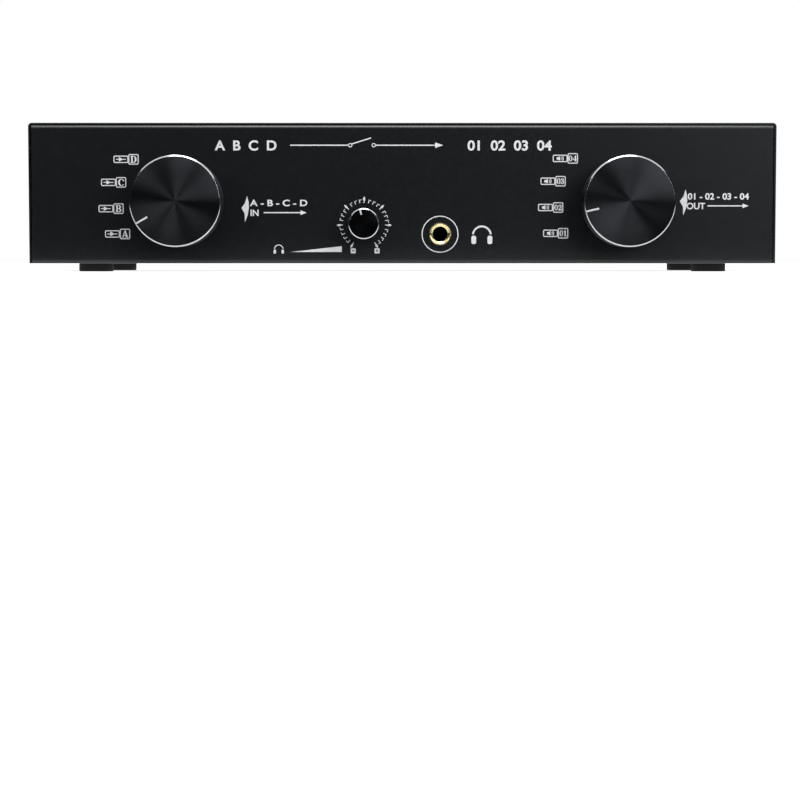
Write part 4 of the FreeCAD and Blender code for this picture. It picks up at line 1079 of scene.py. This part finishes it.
# Thirty-two screw caps for the posts, injection moulded in red and black ABS. Sixteen flutes give
# grip. They start deep at the face and run out to a point before the smooth rim.
CAP_FACE, CAP_BACK, CAP_BORE = 86.0, 72.5, 3.28
FACE_RADIUS, GRIP_RADIUS, RIM_RADIUS = 5.75, 6.3, 6.45
GRIP_START, RIM_START = CAP_FACE - 0.9, CAP_FACE - 9.8
FLUTES, FLUTE_RADIUS, FLUTE_LENGTH, FLUTE_SIDES = 16, 0.7, 13.0, 20
FLUTE_MIDDLE, FLUTE_TILT = (6.35, CAP_FACE - 2.5), 4.0

# Red ABS from a polished tool: saturated and glossy, with a little light under the skin.
red_cap_plastic = finish(
    "moulded red abs", "#D41C22", "#DE242A", grain=2.5, relief=0.002, rough=(0.24, 0.32), IOR=1.52,
    Subsurface_Weight=0.12, Subsurface_Radius=(0.0012, 0.0003, 0.0002), Subsurface_Scale=1.0,
)
# Black ABS from the same tool: deep and glossy, with the light staying on the surface.
black_cap_plastic = finish(
    "moulded glossy black abs", "#101012", "#161618", grain=2.5, relief=0.002, rough=(0.24, 0.34),
    IOR=1.52,
)
cap = turned(Y_WAY, [
    (CAP_BORE, CAP_FACE - 0.15), (CAP_BORE + 0.15, CAP_FACE), (FACE_RADIUS - 0.15, CAP_FACE),
    (FACE_RADIUS + 0.12, CAP_FACE - 0.12), (FACE_RADIUS + 0.35, CAP_FACE - 0.42),
    (GRIP_RADIUS - 0.07, GRIP_START), (GRIP_RADIUS, GRIP_START - 0.7), (GRIP_RADIUS, RIM_START),
    (RIM_RADIUS, RIM_START - 0.35), (RIM_RADIUS, CAP_BACK + 0.4),
    (RIM_RADIUS - 0.12, CAP_BACK + 0.12), (RIM_RADIUS - 0.4, CAP_BACK), (CAP_BORE, CAP_BACK),
    (CAP_BORE, CAP_FACE - 0.15),
], steps=96)
flute = begin(
    bpy.ops.mesh.primitive_cylinder_add,
    vertices=FLUTE_SIDES,
    radius=FLUTE_RADIUS * MM,
    depth=FLUTE_LENGTH * MM,
    rotation=(QUARTER_TURN, 0, 0),
)
tilt = -math.radians(FLUTE_TILT)
bpy.ops.transform.rotate(value=tilt, orient_axis="Z", center_override=(0, 0, 0))
bpy.ops.transform.translate(value=(FLUTE_MIDDLE[0] * MM, FLUTE_MIDDLE[1] * MM, 0))
once_round = dict(angle=math.tau, center=(0, 0, 0), axis=Y_WAY)
bpy.ops.mesh.spin(steps=FLUTES, dupli=True, use_auto_merge=False, **once_round)
heal()
cut(cap, flute)
soften(cap, 0.12, angle=38.0)
for colour, z, plastic in (("red", RED_Z, red_cap_plastic), ("black", BLACK_Z, black_cap_plastic)):
    for number, x in enumerate(COLUMN_X, 1):
        twin = copied(cap, (x, 0, z))
        node = f"{colour}_cap_{number:02d}"
        name = f"{colour}_post_cap_{number:02d}"
        settle(twin, plastic, name, node, f"{colour}_plastic", node)
bpy.data.objects.remove(cap)


# The cover: top and both sides in one folded sheet of 1 mm steel, with the tray's powder coat. It
# slides over the tray, two tongues hook under the front flange, and two screws hold it at the back.
COVER_HALF_WIDTH = 160.0
COVER_SHEET, COVER_SETBACK, COVER_FOLD = 1.0, 1.0, 1.6
HOOK_X, HOOK_WIDTH, HOOK_REACH, HOOK_GAP = 110.0, 16.0, 6.0, 0.2

cover = blank(2 * COVER_HALF_WIDTH, REAR - FRONT - 2 * COVER_SETBACK, (0, MIDDLE_Y, COVER_TOP))
choose(cover, "EDGE", lambda low, high: near(low.x, high.x))
extrude(z=BASE - COVER_TOP)
pressed(
    cover, "cover", "top_cover",
    lambda low, high: near(low.x, high.x) and near(low.z, COVER_TOP),
    COVER_FOLD, COVER_SHEET, -1.0,
    [(BLOCK_SCREW_HOLE, (x, y, COVER_TOP), 6.0, Z_WAY) for x, y in COVER_SCREW_PLACES],
)

tongue_top = TRAY_TOP - TRAY_SHEET - HOOK_GAP
web_front = FRONT + FLANGE + HOOK_GAP
for number, x in enumerate((-HOOK_X, HOOK_X), 1):
    middle = (x, web_front + COVER_SHEET / 2, tongue_top - COVER_SHEET / 2)
    hook = cuboid(middle, (HOOK_WIDTH, COVER_SHEET, COVER_SHEET))
    choose(hook, "FACE", lambda low, high: near(low.z, tongue_top))
    extrude(z=TRAY_TOP - tongue_top)
    choose(hook, "FACE", lambda low, high: near(high.y, web_front) and high.z < tongue_top + 0.01)
    extrude(y=-HOOK_REACH - HOOK_GAP)
    soften(hook, SHEET_EDGE, angle=60.0)
    settle(hook, powder_coat, f"cover_hook_{number}", "case", "black_paint", "top_cover")


# The studio: a pale floor and sky that show white behind the part and in its gloss, a wide lamp
# overhead and one at each corner. Black flags, which show only in gloss, stand all round and cover
# the floor but for an opening at the part, and keep its upright faces and its metal dark.
def backdrop(tree, target, lit, shine):
    """Feeds a socket with shine where it is seen directly or in gloss or glass, else with lit."""
    path = add_node(tree, "ShaderNodeLightPath").outputs
    seen = path["Is Camera Ray"]
    for kind in ("Is Glossy Ray", "Is Transmission Ray"):
        both = {0: seen, 1: path[kind]}
        seen = add_node(tree, "ShaderNodeMath", both, operation="MAXIMUM").outputs["Value"]
    add_node(tree, "ShaderNodeMapRange", {"Value": seen}, target, to_min=lit, to_max=shine)


world = bpy.data.worlds.new("studio sky")
bpy.context.scene.world = world
world.use_nodes = True
sky = world.node_tree.nodes["Background"].inputs
sky["Color"].default_value = (1, 1, 1, 1)
backdrop(world.node_tree, sky["Strength"], 0.4, 1.0)


def dull_paint(name, tone, shine):
    """A matt stage paint, that shines by itself where it is seen directly or in gloss."""
    paint = bpy.data.materials.new(name)
    paint.use_nodes = True
    shader = paint.node_tree.nodes["Principled BSDF"].inputs
    shader["Base Color"].default_value = linear(tone)
    shader["Roughness"].default_value = 1.0
    shader["Specular IOR Level"].default_value = 0.0
    shader["Emission Color"].default_value = (1, 1, 1, 1)
    backdrop(paint.node_tree, shader["Emission Strength"], 0.0, shine)
    return paint


FLOOR_SIZE = 16.0
floor = begin(bpy.ops.mesh.primitive_plane_add, size=FLOOR_SIZE, location=(0, 0, 0))
bpy.ops.mesh.subdivide(number_cuts=3)
object_mode()
floor.name = "floor"
floor.data.materials.append(dull_paint("pale studio floor", "#9A9A9A", 0.85))

FLAG_RADIUS, FLAG_HEIGHT, FLAG_GAP = 1.6, 1.2, 0.002
FLAG_OPENING = (0.25, 0.058, 1)
flags = begin(
    bpy.ops.mesh.primitive_cylinder_add,
    vertices=32,
    radius=FLAG_RADIUS,
    depth=FLAG_HEIGHT,
    end_fill_type="NOTHING",
    location=(0, 0, FLAG_HEIGHT / 2 + FLAG_GAP),
)
choose(flags, "EDGE", lambda low, high: near(high.z, FLAG_GAP / MM))
bpy.ops.mesh.extrude_region_move()
bpy.ops.transform.resize(value=FLAG_OPENING, center_override=(0, 0, 0))
object_mode()
flags.name = "black_flags"
flags.data.materials.append(dull_paint("black flag cloth", "#1A1A1A", 0.0))
flags.visible_camera = flags.visible_diffuse = flags.visible_shadow = False

LAMP_AIM = Vector((0, 0, 0.03))


def lamp(name, place, width, height, radiance):
    """A soft rectangular lamp, in metres, aimed at the part."""
    light = bpy.data.lights.new(name, "AREA")
    light.shape = "RECTANGLE"
    light.size, light.size_y = width, height
    light.energy = radiance * math.pi * width * height
    holder = bpy.data.objects.new(name, light)
    bpy.context.scene.collection.objects.link(holder)
    holder.location = place
    holder.rotation_euler = (LAMP_AIM - Vector(place)).to_track_quat("-Z", "Y").to_euler()
    holder.visible_camera = False


lamp("overhead lamp", (0.0, -0.15, 1.0), 0.6, 0.9, 6.5)
lamp("front right lamp", (0.7, -0.85, 0.5), 0.8, 0.8, 2.9)
lamp("front left lamp", (-0.9, -1.0, 0.6), 0.45, 0.45, 3.5)
lamp("rear right lamp", (0.85, 1.15, 0.32), 0.6, 0.6, 6.75)
lamp("rear left lamp", (-0.85, 1.15, 0.32), 0.6, 0.6, 6.75)


# The camera stands almost square to the front wall, a little above the table, so that neither the
# top nor a side shows. Its lens gives a millimetre of that wall its size in the frame.
CAMERA_X, CAMERA_Z, CAMERA_REACH = -3.2, 6.0, 925.0
VANISHING_X, HORIZON = 395.0, 257.6
PIXELS_PER_MM = 2.328
FRAME = 800
SENSOR = 36.0
camera_data = bpy.data.cameras.new("camera")
camera = bpy.data.objects.new("camera", camera_data)
bpy.context.scene.collection.objects.link(camera)
bpy.context.scene.camera = camera
focal_pixels = PIXELS_PER_MM * CAMERA_REACH
camera_data.sensor_width = SENSOR
camera_data.lens = focal_pixels * SENSOR / FRAME
camera_data.clip_start, camera_data.clip_end = 0.01, 50.0
camera.location = (CAMERA_X * MM, (FRONT - CAMERA_REACH) * MM, CAMERA_Z * MM)
tilt = math.atan((FRAME / 2 - HORIZON) / focal_pixels)
turn = math.atan((FRAME / 2 - VANISHING_X) / focal_pixels)
camera.rotation_euler = (math.pi / 2 - tilt, 0, -turn)

bpy.context.scene.view_settings.view_transform = "Standard"
